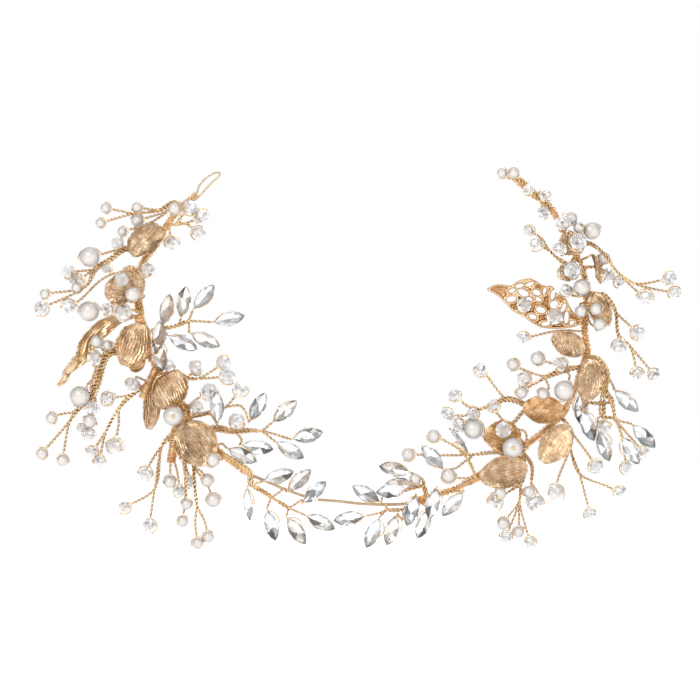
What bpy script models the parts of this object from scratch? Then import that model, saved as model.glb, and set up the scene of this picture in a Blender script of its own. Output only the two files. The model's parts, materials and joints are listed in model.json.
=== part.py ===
"""Bridal hair vine: a wired band bent into a U, with cupped gold leaves and sprays of pearls and crystals.

The vine stands upright in the XZ plane, as it hangs at the back of a head. +X is the wearer's right as seen
from behind, +Z is up, and the show side faces -Y. The origin is on the bare wire in the middle of the band.
"""

import math

import bpy
import bmesh
from mathutils import Matrix, Vector

MM = 0.001

# Driving dimensions, in millimetres.
BAND_WIRE = 1.1
BINDING_OUTER = 2.6
BINDING_INNER = 1.8
STEM_WIRE = 0.9
PIN_LOOP_WIRE = 0.8
COLLAR_OUTER = 3.2
COLLAR_INNER = 1.9
LEAF_THICKNESS = 0.45
MARQUISE_LENGTH = 12.6
MARQUISE_WIDTH = 6.2
MARQUISE_HEIGHT = 3.4
PEARL_BORE = 1.7
BORE_WIRE_TAIL = 1.0

# Mesh fineness.
BAND_SIDES = 5
STEM_SIDES = 3
PEARL_SEGMENTS = 8
PEARL_RINGS = 5
BORED_SEGMENTS = 8
MARQUISE_SEGMENTS = 6
LEAF_ROWS = 6
LEAF_COLUMNS = 6

# A place is (x, z, lift) in millimetres: lift is the distance from the band's plane towards the show side.


def pearl(size, x, z, lift):
    return {"kind": "pearl", "size": size, "at": (x, z, lift)}


def crystal(size, x, z, lift):
    return {"kind": "crystal", "size": size, "at": (x, z, lift)}


def marquise(heading, x, z, lift, roll=0):
    """A pointed oval stone whose far tip points along heading, in degrees from +X towards +Z."""
    return {"kind": "marquise", "heading": heading, "at": (x, z, lift), "roll": roll}


def spinner(name, heading, size, x, z, lift):
    """A large pearl that turns on its wire. Its bore runs along heading, or towards the show side if None."""
    return {"kind": "spinner", "name": name, "heading": heading, "size": size, "at": (x, z, lift)}


# The band's centreline, from the left wing's collar to the right wing's tip.
BAND_LEFT = (
    (-59.6, 120.2, 0), (-63, 117.2, 0), (-67.5, 112.5, 0), (-69.5, 109.5, 0), (-72, 104.5, 0),
    (-75, 100, 0), (-78.5, 95.5, 0), (-81, 90, 0), (-81, 84, 0), (-80.3, 77, 0), (-79, 71, 0),
    (-77, 64, 0), (-75.5, 57, 0), (-72, 51, 0), (-66.5, 44, 0), (-63, 37, 0), (-60, 30, 0),
    (-54, 24, 0), (-47.6, 18.7, 0), (-41, 13.6, 0), (-36, 10.3, 0), (-30, 7.7, 0), (-22, 4.3, 0),
    (-14.4, 1.6, 0), (-7.65, 0, 0),
)
BAND_CENTRE = ((-7.05, 0, 0), (0, -0.55, 0), (7.75, -1.45, 0))
BAND_RIGHT = (
    (8.35, -1.5, 0), (16, -1.8, 0), (26, -1.5, 0), (32, -0.3, 0), (40.4, 2.6, 0), (46, 4.5, 0),
    (52, 7.6, 0), (60, 12, 0), (68, 17, 0), (73, 20.8, 0), (79, 25.5, 0), (84, 29.5, 0),
    (89, 34.7, 0), (92, 40, 0), (95, 47, 0), (98, 55.5, 0), (98.7, 60, 0), (97.8, 67.8, 0),
    (98, 75, 0), (98.8, 82, 0), (97.5, 90, 0), (95.5, 95.6, 0), (93, 101, 0), (89, 108, 0),
    (86.3, 113.6, 0), (84, 117, 0), (80, 120.5, 0), (75.5, 124.5, 0), (72, 127.2, 0), (69, 129.5, 0),
)
BINDING_LEFT = slice(2, 21)
BINDING_RIGHT = slice(3, 30)
COLLAR = ((-60.9, 119.1, 0), (-58.4, 121.3, 0))
PIN_LOOP = (
    (-57.6, 122.2, 0), (-56.2, 125.8, 0), (-53, 129.2, 0), (-49.4, 131, 0), (-48.1, 130.7, 0),
    (-48.4, 129.6, 0), (-51.2, 127, 0), (-54.6, 123.3, 0), (-56.6, 121.1, 0),
)

# A leaf is its spine from root to tip, its width, how far its edges cup towards the show side, and a roll in
# degrees about its spine.
LEAVES = {
    "leaf_left_1": (((-71.9, 109.2, 3.4), (-83.8, 98.6, 4.5)), 11.5, 2.5, 0),
    "leaf_left_3": (((-82.6, 83.5, 3.4), (-93.8, 84, 4.5)), 12, 2, 0),
    "leaf_left_4": (
        ((-81.6, 73.5, -3.4), (-91, 73, -4), (-98, 69.5, -3.5), (-104, 61, -2),
         (-108.6, 53, 0), (-112.4, 46, 2)),
        7, 1.5, 0,
    ),
    "leaf_left_5": (((-79, 70.5, 3.4), (-85.5, 53.5, 5)), 14, 3, 0),
    "leaf_left_6": (((-78.3, 56.5, 1), (-84, 52.5, -1)), 6, 1, 0),
    "leaf_left_7": (((-72.5, 37.5, 3.4), (-62.8, 51, 5)), 14, 3, 0),
    "leaf_left_8": (((-74, 46.5, 0), (-76.3, 28.3, -1)), 7, 1.5, 0),
    "leaf_left_9": (((-62.5, 30.5, 3.4), (-52.3, 14.8, 5)), 17.5, 3, 0),
    "leaf_right_1": (((97, 100, 3.4), (87.8, 104.6, 4.5)), 8, 1.5, 0),
    "leaf_right_2": (((101, 98, 1.5), (103.8, 86.5, 2.5)), 5, 1, 60),
    "leaf_right_3": (((93.5, 91.5, 3), (86.8, 90.3, 4)), 7, 1.5, 0),
    "leaf_right_4": (((101, 83, 3.4), (106.3, 69.3, 4.5)), 9, 2, 0),
    "leaf_right_5": (((97.5, 59.4, 3.4), (84.6, 65.5, 5)), 9.8, 2, 0),
    "leaf_right_6": (((100.5, 56.5, 3), (98.8, 40, 4.5)), 11.5, 2, 0),
    "leaf_right_7": (((89, 35.6, 3.4), (73, 37, 5)), 11.3, 2, 0),
    "leaf_right_8": (((74.5, 13.5, 3.4), (56, 9, 5)), 13, 2.5, 0),
    "leaf_right_9": (((72, 24.5, 3.4), (58, 26.5, 5)), 13, 2.5, 0),
    "leaf_right_10": (((91.5, 29.5, 2.8), (80.5, 15.5, 5)), 12.5, 2, 0),
}
FILIGREE_SPINE = ((97, 73, 3.4), (78, 78, 6), (59, 84, 8))
FILIGREE_WIDTH = 16
FILIGREE_CUP = 2
# Openwork of the filigree leaf: (place along the spine, place across it) from 0 to 1 and -1 to 1.
FILIGREE_HOLES = (
    (0.14, -0.42), (0.16, 0.42), (0.36, 0.5), (0.38, -0.5), (0.55, 0.5), (0.62, -0.45), (0.74, 0.4),
)
FILIGREE_HOLE = (4.2, 2.2)
FILIGREE_STONES = (crystal(7, 85.6, 73.5, 8.5), crystal(6, 73.2, 77.9, 9))

# A spray is a set of twisted wires. Each runs through its places and ends in a stone, or in the last place.
SPRAYS = {
    "tip_spray_left": (
        ((-62.6, 117.9, 1.6), (-66, 119, 2.5), (-72.3, 116.1, 3.5), pearl(4, -81, 117, 5)),
        ((-72.3, 116.1, 3.5), (-82, 114.5, 3), (-88, 115.6, 4), pearl(4, -93.6, 116.6, 5)),
        ((-82, 114.5, 3), pearl(4, -95.7, 110.7, 3)),
        ((-66, 119, 2.5), (-68.4, 116, 2.5), pearl(5, -81, 111.7, 1)),
        ((-68.4, 116, 2.5), (-76, 110.8, 1), pearl(4, -87, 107.4, 1)),
    ),
    "shoulder_spray_left": (
        ((-68.3, 109.8, 2.1), (-62, 110.5, 3.5), crystal(6, -55, 113.2, 5)),
        ((-62, 110.5, 3.5), crystal(5.5, -56.4, 106.6, 4)),
        ((-65.5, 110.1, 2.8), (-63.5, 113, 4.5), crystal(6, -59.7, 116.8, 6)),
        ((-63.5, 113, 4.5), pearl(5, -66, 116.4, 7)),
        ((-68.3, 109.8, 2.1), (-67.9, 106.5, 3.5), crystal(6, -67.3, 102.4, 5)),
    ),
    "outer_spray_left_upper": (
        ((-75.9, 99, -2.1), (-85.6, 100.7, -1), spinner("pearl_left_upper", 193, 8, -100, 97.2, 2)),
        ((-85.6, 100.7, -1), (-92, 96.5, -0.5), (-98, 92.7, -3), crystal(6, -108.5, 91, 2)),
        ((-98, 92.7, -3), crystal(6, -105.5, 87.3, -3)),
        ((-98, 92.7, -3), (-101.5, 85.5, 1), pearl(4, -105.3, 84.8, 3)),
        ((-101.5, 85.5, 1), pearl(4, -118, 82.4, 2)),
        ((-101.5, 85.5, 1), crystal(6, -119.6, 76.6, -1)),
        ((-85.6, 100.7, -1), crystal(5, -89, 102.6, 2)),
        ((-92, 96.5, -0.5), crystal(4, -93.3, 92.6, 0)),
    ),
    "outer_spray_left_middle": (
        ((-81.5, 88.5, -2.1), (-88, 91, -3.5), (-95, 88.5, -2.5), (-104, 80, 0), crystal(6, -108.4, 77.1, 1)),
        ((-81.5, 88.5, -2.1), (-81, 80, -2.1)),
        ((-81, 80, -2.1), (-92, 78, -1), spinner("pearl_left_middle", 188, 8, -100.2, 75.4, 3)),
    ),
    "cluster_left_middle": (
        ((-79.4, 75, 2.1), (-80.3, 80, 2.1), (-81, 87, 2.1), (-79.8, 92, 2.1), crystal(6, -76.6, 92, 5)),
        ((-80.3, 80, 2.1), (-78.2, 81.6, 6), pearl(6, -82.5, 82.1, 10)),
        ((-81, 87, 2.1), (-83, 91.6, 6), crystal(6, -86.8, 88, 10.5)),
        ((-79.4, 75, 2.1), (-83, 76, 4), crystal(7, -86.5, 74.6, 6)),
        ((-83, 76, 4), (-90, 76.5, 5), crystal(5, -92.8, 76.4, 5)),
    ),
    "marquise_spray_left_upper": (
        ((-77.6, 66, -2.1), (-74, 68.3, -1.5), (-68, 68.7, 0.5), (-61, 71.4, 1.5),
         marquise(50, -54.2, 81.3, 3)),
        ((-70.5, 68.5, -0.3), marquise(78, -69.2, 76.3, 2)),
        ((-64.5, 70, 1), marquise(81, -62.5, 79.4, 3)),
        ((-61, 71.4, 1.5), marquise(11, -44.1, 72.5, 3)),
        ((-61, 71.4, 1.5), marquise(-24, -53.6, 64, 4)),
        ((-70.5, 68.5, -0.3), marquise(-25, -62.6, 62.9, 1)),
        ((-77.6, 66, -2.1), (-77.3, 62, -2.4), (-74.4, 61.7, -1.6), marquise(85, -72.4, 65.6, 2.4)),
        ((-74.4, 61.7, -1.6), marquise(-75, -72.3, 57.4, 3.4)),
    ),
    "outer_spray_left_lower": (
        ((-76.6, 59, -2.1), (-84, 60, -3), (-92.9, 58.5, -1), (-98.4, 49, 0),
         spinner("pearl_left_lower", 237, 8, -104, 41.6, 2)),
        ((-92.9, 58.5, -1), pearl(4, -92.9, 62, 2)),
        ((-92.9, 58.5, -1), pearl(5, -97.3, 63.3, 2)),
        ((-92.9, 58.5, -1), crystal(6, -98.1, 56.7, 3)),
        ((-92.9, 58.5, -1), (-98.8, 43.7, -4), (-104.6, 36, -2.5), (-112, 34.2, -1),
         pearl(4.5, -115.4, 32.7, 1)),
        ((-104.6, 36, -2.5), (-108.2, 31.5, -2), pearl(4.5, -119.3, 18.5, 1)),
        ((-108.2, 31.5, -2), pearl(4.5, -111, 15.8, 0)),
        ((-98.8, 43.7, -4), (-98.2, 38, -3), crystal(6, -99.4, 36.8, 0)),
        ((-98.2, 38, -3), (-98.6, 34, -3), pearl(5.5, -100, 31.5, 1)),
        ((-98.6, 34, -3), crystal(4, -103.5, 28.4, 0)),
        ((-98.6, 34, -3), crystal(5, -100.5, 26, 0)),
    ),
    "drop_spray_left": (
        ((-71.3, 48, -2.1), (-76, 47, -3), (-83, 42.4, -2), (-88, 37.6, -1), (-93.4, 27.9, 0),
         crystal(5, -99.3, 18.9, 0)),
        ((-83, 42.4, -2), crystal(6, -92.8, 40.8, 2)),
        ((-93.4, 27.9, 0), crystal(5, -96.3, 15.2, 1)),
        ((-88, 37.6, -1), (-88.6, 30, 0), crystal(7, -90.2, 21.5, 2)),
        ((-76, 47, -3), (-81.5, 49, -2), crystal(6, -82.8, 45.9, 1)),
    ),
    "inner_spray_left": (
        ((-66.8, 45, -2.1), (-62, 48.2, -1), (-56.8, 48.5, 1), crystal(5.5, -46.2, 54.8, 3)),
        ((-56.8, 48.5, 1), crystal(6, -44.8, 49.4, 0)),
        ((-62, 48.2, -1), (-60, 50, -1), crystal(6, -57.5, 53, 1)),
        ((-66.8, 45, -2.1), (-70.6, 50, -2.4), (-68, 52.5, -1), crystal(5, -68.6, 54, 1)),
        ((-66.8, 45, -2.1), (-63.8, 39.2, -2.3), (-60.6, 37.9, -0.5), crystal(6, -57.5, 37, 2)),
        ((-60.6, 37.9, -0.5), (-57, 40.5, -1.8), crystal(7, -52.3, 43.4, -1)),
        ((-60.6, 37.9, -0.5), (-60.9, 36.2, 2.4), (-64.8, 34.2, 2.4),
         spinner("pearl_left_front", None, 8, -66.4, 33.7, 8)),
    ),
    "inner_marquise_spray_left": (
        ((-61.6, 32.5, -2.1), (-52.4, 34.5, 0), (-46, 37, 1), crystal(6, -39.6, 44.4, 2)),
        ((-46, 37, 1), (-39.6, 37.6, 1.5), marquise(62, -32.7, 37.5, 3)),
        ((-52.4, 34.5, 0), marquise(93, -49.2, 37.4, 4)),
        ((-61.6, 32.5, -2.1), (-57, 26.5, -2.1), (-50.8, 21.6, -2.3), (-47.3, 22.6, -0.6),
         marquise(-25, -38.8, 17.9, 2)),
        ((-57, 26.5, -2.1), (-50, 28.6, -1), (-43, 27.8, 1), (-38.7, 28, 1.2), (-31.7, 27.6, 1.5),
         marquise(42, -21.9, 35.7, 3)),
        ((-43, 27.8, 1), crystal(7, -41.2, 31.6, 4)),
        ((-43, 27.8, 1), (-39.3, 24.2, 2), marquise(-8, -32.7, 21.2, 5)),
        ((-31.7, 27.6, 1.5), marquise(13, -12.7, 26, 3)),
        ((-31.7, 27.6, 1.5), marquise(-30, -19.8, 19.9, 3)),
    ),
    "fan_spray_left": (
        ((-62.8, 33.5, -2.1), (-66, 27, -2), (-67.6, 19, -1), (-67.9, 12, 0.2), pearl(5, -68, 7.2, 1)),
        ((-67.6, 19, -1), (-65.4, 12, -2.4), crystal(4.8, -64.2, 3.4, -3.5)),
        ((-66, 27, -2), (-63.2, 17.5, -1.2), (-61.9, 8, 0.6), pearl(4.5, -61.3, -1.7, 0.6)),
        ((-61.9, 8, 0.6), (-61.9, 3, -1), (-62.3, -1.8, -2.6), pearl(4.5, -62.9, -8.6, -1)),
        ((-63.2, 17.5, -1.2), crystal(4.8, -59.7, 6.9, -4)),
        ((-66, 27, -2), (-60.6, 20, -2.4), (-58.7, 14, -0.6), (-57.9, 4.8, 0.6), (-57.2, -2, 0.6),
         (-57.9, -9, 0.6), pearl(4.5, -56.9, -17.4, 0)),
        ((-57.2, -2, 0.6), (-54.2, -8.4, 0.8), pearl(4.5, -52.6, -14.8, 1)),
        ((-58.7, 14, -0.6), (-56.6, 10.6, 1), pearl(5, -53.1, 7.7, 2)),
        ((-58.7, 14, -0.6), (-55, 10.6, -3), (-52.6, 5, -2.4), pearl(6, -50.7, 0, 0)),
        ((-66, 27, -2), (-71, 22, -2), (-76.1, 14.4, 0), crystal(6, -77.9, 10.3, 1)),
        ((-71, 22, -2), (-74.2, 4.5, -2), crystal(5, -86.2, -3, 0)),
        ((-74.2, 4.5, -2), crystal(5.5, -76.3, -10.5, 0)),
    ),
    "lower_marquise_spray_left": (
        ((-47.7, 18.9, 2.1), (-36, 10.6, 2.1), (-35.4, 6.7, 1), marquise(-85, -36.6, -1.8, 1, 40)),
        ((-35.4, 6.7, 1), (-28, 1.4, 1), marquise(-75, -27.4, -10.2, 2)),
        ((-35.4, 6.7, 1), marquise(18, -24.3, 9.6, 3)),
        ((-28, 1.4, 1), (-22, 4.6, 1.6), marquise(42, -16.2, 8.1, 3)),
        ((-28, 1.4, 1), (-20.9, -2.9, 1), marquise(-55, -17.3, -12.5, 2)),
        ((-20.9, -2.9, 1), marquise(-25, -7.6, -9, 1)),
        ((-20.9, -2.9, 1), (-15, 0.2, 2), marquise(43, -10, 3.4, 3.8)),
        ((-47.7, 18.9, 2.1), (-46.8, 16.5, 6), pearl(5.5, -50.6, 16.2, 9.6)),
    ),
    "lower_marquise_spray_right": (
        ((18.4, -1.5, 1.4), (18.4, -3.8, 2), marquise(188, 3.5, -7.2, 6)),
        ((18.4, -3.8, 2), marquise(-113, 13, -13.3, 3)),
        ((18.4, -3.8, 2), (24.6, -3.9, 1.5), marquise(-107, 28.5, -4.4, 3)),
        ((24.6, -3.9, 1.5), (25, -8, 0), marquise(-108, 20.6, -12.2, 2)),
    ),
    "inner_marquise_spray_right": (
        ((34.8, 0.8, 2.1), (34, 5.2, 2.5), (28.5, 4.4, 3), marquise(186, 20.4, 3.8, 5.5)),
        ((28.5, 4.4, 3), (17.5, 1.6, 1.8), marquise(150, 10.3, 2.6, 3)),
        ((34, 5.2, 2.5), marquise(175, 24.2, 6, 1.5)),
        ((34, 5.2, 2.5), (33, 8.4, 2.5), marquise(168, 21.6, 12.5, 4)),
        ((33, 8.4, 2.5), pearl(4.5, 29.9, 8.6, 4.5)),
        ((34.8, 0.8, 2.1), marquise(-105, 37, -1.4, 5)),
        ((34.8, 0.8, 2.1), (33.4, -2, 1), marquise(-112, 33.3, -9.7, 1)),
        ((34.8, 0.8, 2.1), (41, 3, 2.1), marquise(-132, 44.9, -1.6, 4)),
    ),
    "inner_spray_right_lower": (
        ((54.2, 9, 2.1), (47.5, 8.8, 3), pearl(6, 43.3, 9.9, 4)),
        ((54.2, 9, 2.1), (51.2, 15.9, 3), (47.8, 20.1, 3.2), (43, 23.2, 4), pearl(5, 37.4, 25.8, 5)),
        ((66, 16.2, 2.2), (64.3, 18.4, 2.2), (53.7, 18.2, 1.5), (43.2, 17.9, 1.2), pearl(5, 27.2, 18.3, 1.5)),
        ((53.7, 18.2, 1.5), (51.2, 15.9, 3)),
        ((51.2, 15.9, 3), (46.5, 13, 4), marquise(132, 36.8, 17.2, 4.8)),
        ((47.8, 20.1, 3.2), marquise(127, 47.3, 24, 3, 70)),
    ),
    "inner_spray_right_middle": (
        ((85, 30.8, -2.1), (76, 36.5, -1.5), (71, 39.5, 0), (66.3, 40.5, 1), (58.9, 49.4, 2),
         crystal(5.5, 56.2, 52.1, 3)),
        ((66.3, 40.5, 1), (56.5, 36.5, 2), crystal(5, 53.1, 34.7, 3)),
        ((56.5, 36.5, 2), (51.3, 37.4, 4.5), crystal(5, 45.8, 42, 4)),
        ((56.5, 36.5, 2), (50, 33.8, 0), crystal(5, 42.7, 34.4, 1)),
        ((76, 36.5, -1.5), (68.3, 30.2, -1), (62.5, 35.2, 1), crystal(5, 61.4, 37.8, 2)),
        ((56.5, 36.5, 2), (51.5, 31.5, -1), crystal(5.5, 47.3, 29.8, 1)),
        ((68.3, 30.2, -1), (58.6, 23.4, -1), spinner("pearl_right_side", 142, 8, 53.4, 28.3, 2)),
    ),
    "cluster_right_lower": (
        ((72.8, 18.2, 2.2), (71, 18.4, 5.5), spinner("pearl_right_front", None, 8, 68.7, 21.2, 11.5)),
        ((72.8, 18.2, 2.2), (74.3, 22, 2.4), (73.6, 27.5, 6), crystal(6.5, 65, 28.2, 11)),
    ),
    "inner_spray_right_upper": (
        ((97.3, 53.5, 2.1), (90.8, 52.4, 3), (82.2, 49.6, 4), (72.4, 52.5, 5), pearl(5, 69, 54.3, 5.5)),
        ((82.2, 49.6, 4), (77, 46.3, 5), crystal(6, 73.2, 48.4, 6)),
        ((77, 46.3, 5), pearl(5, 72.4, 43, 5)),
        ((90.8, 52.4, 3), crystal(6, 87.7, 54.4, 5)),
        ((90.8, 52.4, 3), (84, 54.8, 5.5), pearl(5.5, 78.7, 56.6, 6)),
        ((82.2, 49.6, 4), (83.2, 44.8, 7.5), pearl(4.5, 80.8, 42.5, 9.5)),
        ((90.8, 52.4, 3), (91.6, 49.6, 8.5), spinner("pearl_right_middle", 247, 8, 89.2, 43.9, 10)),
    ),
    "tip_spray_right": (
        ((80.4, 120.2, 2.1), (75.3, 124.7, 2.1), (71.8, 127.6, 2), (67.5, 128.6, 2.4),
         pearl(4, 64.7, 130.7, 3)),
        ((71.8, 127.6, 2), pearl(4.5, 69.4, 130.8, 4.4)),
        ((80.4, 120.2, 2.1), (77, 121, 4), crystal(4.5, 75.2, 124, 6)),
        ((80.4, 120.2, 2.1), crystal(5, 81.9, 121.6, 5.2)),
        ((80.4, 120.2, 2.1), (84, 116.6, 2.1), crystal(5, 81, 115, 4.4)),
    ),
    "cluster_right_upper": (
        ((94.2, 98.6, 2.1), (90.8, 104.8, 2.1), (88.3, 109.2, 2.1), (90, 111, 4), crystal(6.5, 89, 110.9, 9)),
        ((88.3, 109.2, 2.1), pearl(5, 92.3, 112.6, 4)),
        ((90.8, 104.8, 2.1), (95, 106.5, 3), pearl(4.5, 95.3, 108.8, 6)),
        ((95, 106.5, 3), spinner("pearl_right_upper", 20, 7, 100.6, 107.6, 3)),
        ((90.8, 104.8, 2.1), (91.5, 107.4, 6), (94.2, 105.4, 10), crystal(7, 94.7, 102.9, 10.5)),
        ((94.2, 98.6, 2.1), (90, 98.2, 5), crystal(6, 87.6, 100.2, 9.5)),
        ((94.2, 98.6, 2.1), (91.5, 94.8, 0), (84, 99.6, 0), crystal(5.5, 78.4, 102.3, 2)),
        ((84, 99.6, 0), (80.5, 104.8, -0.5), crystal(4.5, 75.4, 107.6, 1)),
    ),
    "cluster_right_middle": (
        ((98.3, 77, 2.1), (98.6, 84, 2.1), (97.6, 90, 2.1), (96.4, 91.5, 6), crystal(7, 92.6, 91.9, 9)),
        ((98.6, 84, 2.1), pearl(7, 96.4, 84.8, 6.6)),
        ((98.6, 84, 2.1), (94, 81.5, 1), crystal(5, 90.4, 84, 2.5)),
        ((98.3, 77, 2.1), (97.9, 78.3, 3.2), (95.8, 78.2, 6.6), pearl(5, 96, 75.4, 9)),
        ((97.9, 78.3, 3.2), (98.8, 78.6, 6.6), pearl(5, 101.9, 76.2, 10)),
        ((98.3, 77, 2.1), (99.4, 72, 3.5), (101.2, 69.6, 8), pearl(5, 103.2, 70.2, 10)),
        ((98.3, 77, 2.1), (98, 68.2, 2.1), (91, 67.8, 1.4), (85.3, 67.4, 2), (76.5, 65.4, 3),
         crystal(5, 73.4, 64.7, 4)),
    ),
    "outer_spray_right_upper": (
        ((93.3, 101, -2.1), (99.8, 102.9, -3), (107, 97, 3), (110, 92, 3), (117.7, 86.6, 3),
         crystal(5.5, 131.8, 88.6, 5)),
        ((117.7, 86.6, 3), crystal(5, 133.7, 82.6, 4)),
        ((110, 92, 3), (116.5, 85.4, 2), crystal(6.5, 121.9, 80.8, 2)),
        ((93.3, 101, -2.1), (96.6, 93.2, -2.1), (99.5, 93.5, -3), (104, 93, -3), pearl(5, 105.6, 96.8, -0.5)),
        ((104, 93, -3), crystal(6, 107, 90, -1)),
        ((104, 93, -3), (108.5, 89, -4), crystal(4.5, 111.8, 87.2, -2)),
    ),
    "outer_spray_right_middle": (
        ((99.2, 80.5, -2.1), (104.5, 82.4, -1), (108, 79.5, 0), (110, 75.5, 1), crystal(6, 119, 66.8, 3)),
        ((110, 75.5, 1), (111.2, 66, 1), crystal(6, 111.6, 61.6, 3)),
        ((111.2, 66, 1), (115.9, 61.6, 0), crystal(5, 118.8, 50.4, 1)),
        ((115.9, 61.6, 0), crystal(5, 125.7, 50, 1)),
    ),
    "marquise_spray_right": (
        ((98.5, 57.5, -2.1), (103, 56, -2), (106.5, 50.5, -1), (109.8, 44.5, 0),
         marquise(-42, 114.6, 39.6, 2)),
        ((106.5, 50.5, -1), (105.8, 43.5, -1), (108.3, 39.3, -1), (110.5, 32.5, 0),
         marquise(-45, 121.6, 25.4, 2)),
        ((105.8, 43.5, -1), (105.5, 33.8, -1), crystal(5.5, 105.7, 29.2, 1)),
        ((105.5, 33.8, -1), (110.5, 32.5, 0), (112.5, 26, 0), marquise(-60, 116.2, 19.6, 3.5)),
        ((112.5, 26, 0), crystal(5, 114.6, 12.8, 1)),
        ((110.5, 32.5, 0), crystal(5, 121.6, 19, -1.5)),
        ((105.5, 33.8, -1), (103.5, 33, -1), marquise(-70, 105.6, 21.3, 0)),
        ((108.3, 39.3, -1), (100, 38.8, -2), marquise(-68, 99.2, 29.4, 3)),
        ((100, 38.8, -2), marquise(-85, 96.6, 35.6, -0.5)),
    ),
    "outer_spray_right_lower": (
        ((88.3, 33.5, -2.1), (92.5, 27.3, -2), (99.6, 17.8, -1), crystal(6, 102.3, 13.4, 1)),
        ((92.5, 27.3, -2), (92, 21, -1.5), (87.1, 8, 0), crystal(7, 86.3, 3, 1)),
        ((92, 21, -1.5), (95.7, 10.6, 0), crystal(5, 100, -5.9, 1)),
        ((95.7, 10.6, 0), (107, 5.4, 0), crystal(5, 111.9, 3, 1)),
    ),
    "fan_spray_right": (
        ((73.2, 19.5, -2.1), (72.5, 8, -1.5), (71.8, 0, -1), pearl(5, 65.2, -9.3, 2)),
        ((71.8, 0, -1), crystal(5, 66.3, -15, 0)),
        ((71.8, 0, -1), pearl(4.5, 71.5, -12.8, 0)),
        ((71.8, 0, -1), crystal(5, 76.1, -17.2, 0)),
        ((72.5, 8, -1.5), (66.5, 2.6, 0), crystal(7, 61.6, -0.8, 1)),
        ((66.5, 2.6, 0), (65.5, 1.4, 4), pearl(5, 63.7, 3, 9.4)),
        ((73.2, 19.5, -2.1), (77, 14, -1), (76.6, 7, 1), pearl(5, 75.5, 3.4, 4)),
        ((76.6, 7, 1), (79, 3, -1), crystal(7, 78, -1.4, 0)),
    ),
}

GOLD = ("champagne_gold", (0.80, 0.52, 0.26, 1), 0.28, 1.0)
LEAF_GOLD = ("leaf_gold", (0.72, 0.47, 0.26, 1), 0.42, 1.0)
COPPER = ("copper_binding", (0.72, 0.34, 0.10, 1), 0.35, 1.0)
PEARL = ("pearl", (0.90, 0.87, 0.82, 1), 0.15, 0.0)


def clear_scene():
    for obj in list(bpy.data.objects):
        bpy.data.objects.remove(obj)


def material(name, colour, roughness, metallic):
    found = bpy.data.materials.get(name)
    if found:
        return found
    made = bpy.data.materials.new(name)
    made.use_nodes = True
    shader = made.node_tree.nodes["Principled BSDF"]
    shader.inputs["Base Color"].default_value = colour
    shader.inputs["Roughness"].default_value = roughness
    shader.inputs["Metallic"].default_value = metallic
    return made


def place(point):
    """A layout place (x, z, lift) as a vector in metres."""
    x, z, lift = point
    return Vector((x, -lift, z)) * MM


def in_plane(heading):
    angle = math.radians(heading)
    return Vector((math.cos(angle), 0, math.sin(angle)))


def add_faces(bm, rings, closed_ends=True):
    """Skins a list of vertex rings, and caps the two ends."""
    count = len(rings[0])
    for low, high in zip(rings, rings[1:]):
        for i in range(count):
            j = (i + 1) % count
            bm.faces.new((low[i], low[j], high[j], high[i]))
    if closed_ends:
        bm.faces.new(rings[0][::-1])
        bm.faces.new(rings[-1])


def frames_along(points):
    """A tangent and two normals at each point, carried along without twist."""
    frames = []
    side = None
    for i, point in enumerate(points):
        before = points[max(i - 1, 0)]
        after = points[min(i + 1, len(points) - 1)]
        ahead = (after - point).normalized() if i < len(points) - 1 else (point - before).normalized()
        behind = (point - before).normalized() if i else ahead
        tangent = (ahead + behind).normalized()
        if side is None:
            side = tangent.orthogonal().normalized()
        side = (side - tangent * side.dot(tangent)).normalized()
        frames.append((tangent, side, tangent.cross(side)))
    return frames


def add_tube(bm, points, diameter, sides=BAND_SIDES, inner=0.0):
    """A wire along points, in metres. With an inner diameter it is a sleeve."""
    layers = []
    for bore in (diameter, inner) if inner else (diameter,):
        rings = []
        for point, (_, side, up) in zip(points, frames_along(points)):
            ring = []
            for k in range(sides):
                angle = math.tau * k / sides
                ring.append(bm.verts.new(point + (side * math.cos(angle) + up * math.sin(angle)) * bore / 2))
            rings.append(ring)
        layers.append(rings)
    if not inner:
        add_faces(bm, layers[0])
        return
    outer_rings, inner_rings = layers
    add_faces(bm, outer_rings, closed_ends=False)
    add_faces(bm, inner_rings[::-1], closed_ends=False)
    for k in range(sides):
        j = (k + 1) % sides
        bm.faces.new((outer_rings[0][j], outer_rings[0][k], inner_rings[0][k], inner_rings[0][j]))
        bm.faces.new((outer_rings[-1][k], outer_rings[-1][j], inner_rings[-1][j], inner_rings[-1][k]))


def tilted(centre):
    """A frame at centre, tilted so that no facet of a stone lines up with a straight stem."""
    return Matrix.Translation(centre) @ Matrix.Rotation(math.radians(17), 4, "X")


def add_marquise(bm, stone):
    """A pointed oval: a girdle, a raised table on the show side, and a keel behind."""
    heading = in_plane(stone["heading"])
    toward = Vector((0, -1, 0))
    across = heading.cross(toward)
    roll = Matrix.Rotation(math.radians(stone["roll"]), 3, heading)
    toward = roll @ toward
    across = roll @ across
    centre = place(stone["at"])

    def ring(scale, height):
        made = []
        for k in range(MARQUISE_SEGMENTS):
            angle = math.tau * k / MARQUISE_SEGMENTS
            along = math.cos(angle) * MARQUISE_LENGTH / 2 * scale
            wide = math.sin(angle) * abs(math.sin(angle)) ** 0.2 * MARQUISE_WIDTH / 2 * scale
            made.append(bm.verts.new(centre + (heading * along + across * wide + toward * height) * MM))
        return made

    half = MARQUISE_HEIGHT / 2
    add_faces(bm, [ring(0.35, -half), ring(1, -half * 0.1), ring(0.55, half)])


def stem_end(stone, before):
    """Where the wire that carries a stone stops inside it."""
    if stone["kind"] != "marquise":
        return place(stone["at"])
    return place(stone["at"]) - in_plane(stone["heading"]) * (MARQUISE_LENGTH / 2 - 2.2) * MM


def bore_axis(stone):
    return Vector((0, -1, 0)) if stone["heading"] is None else in_plane(stone["heading"])


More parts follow.
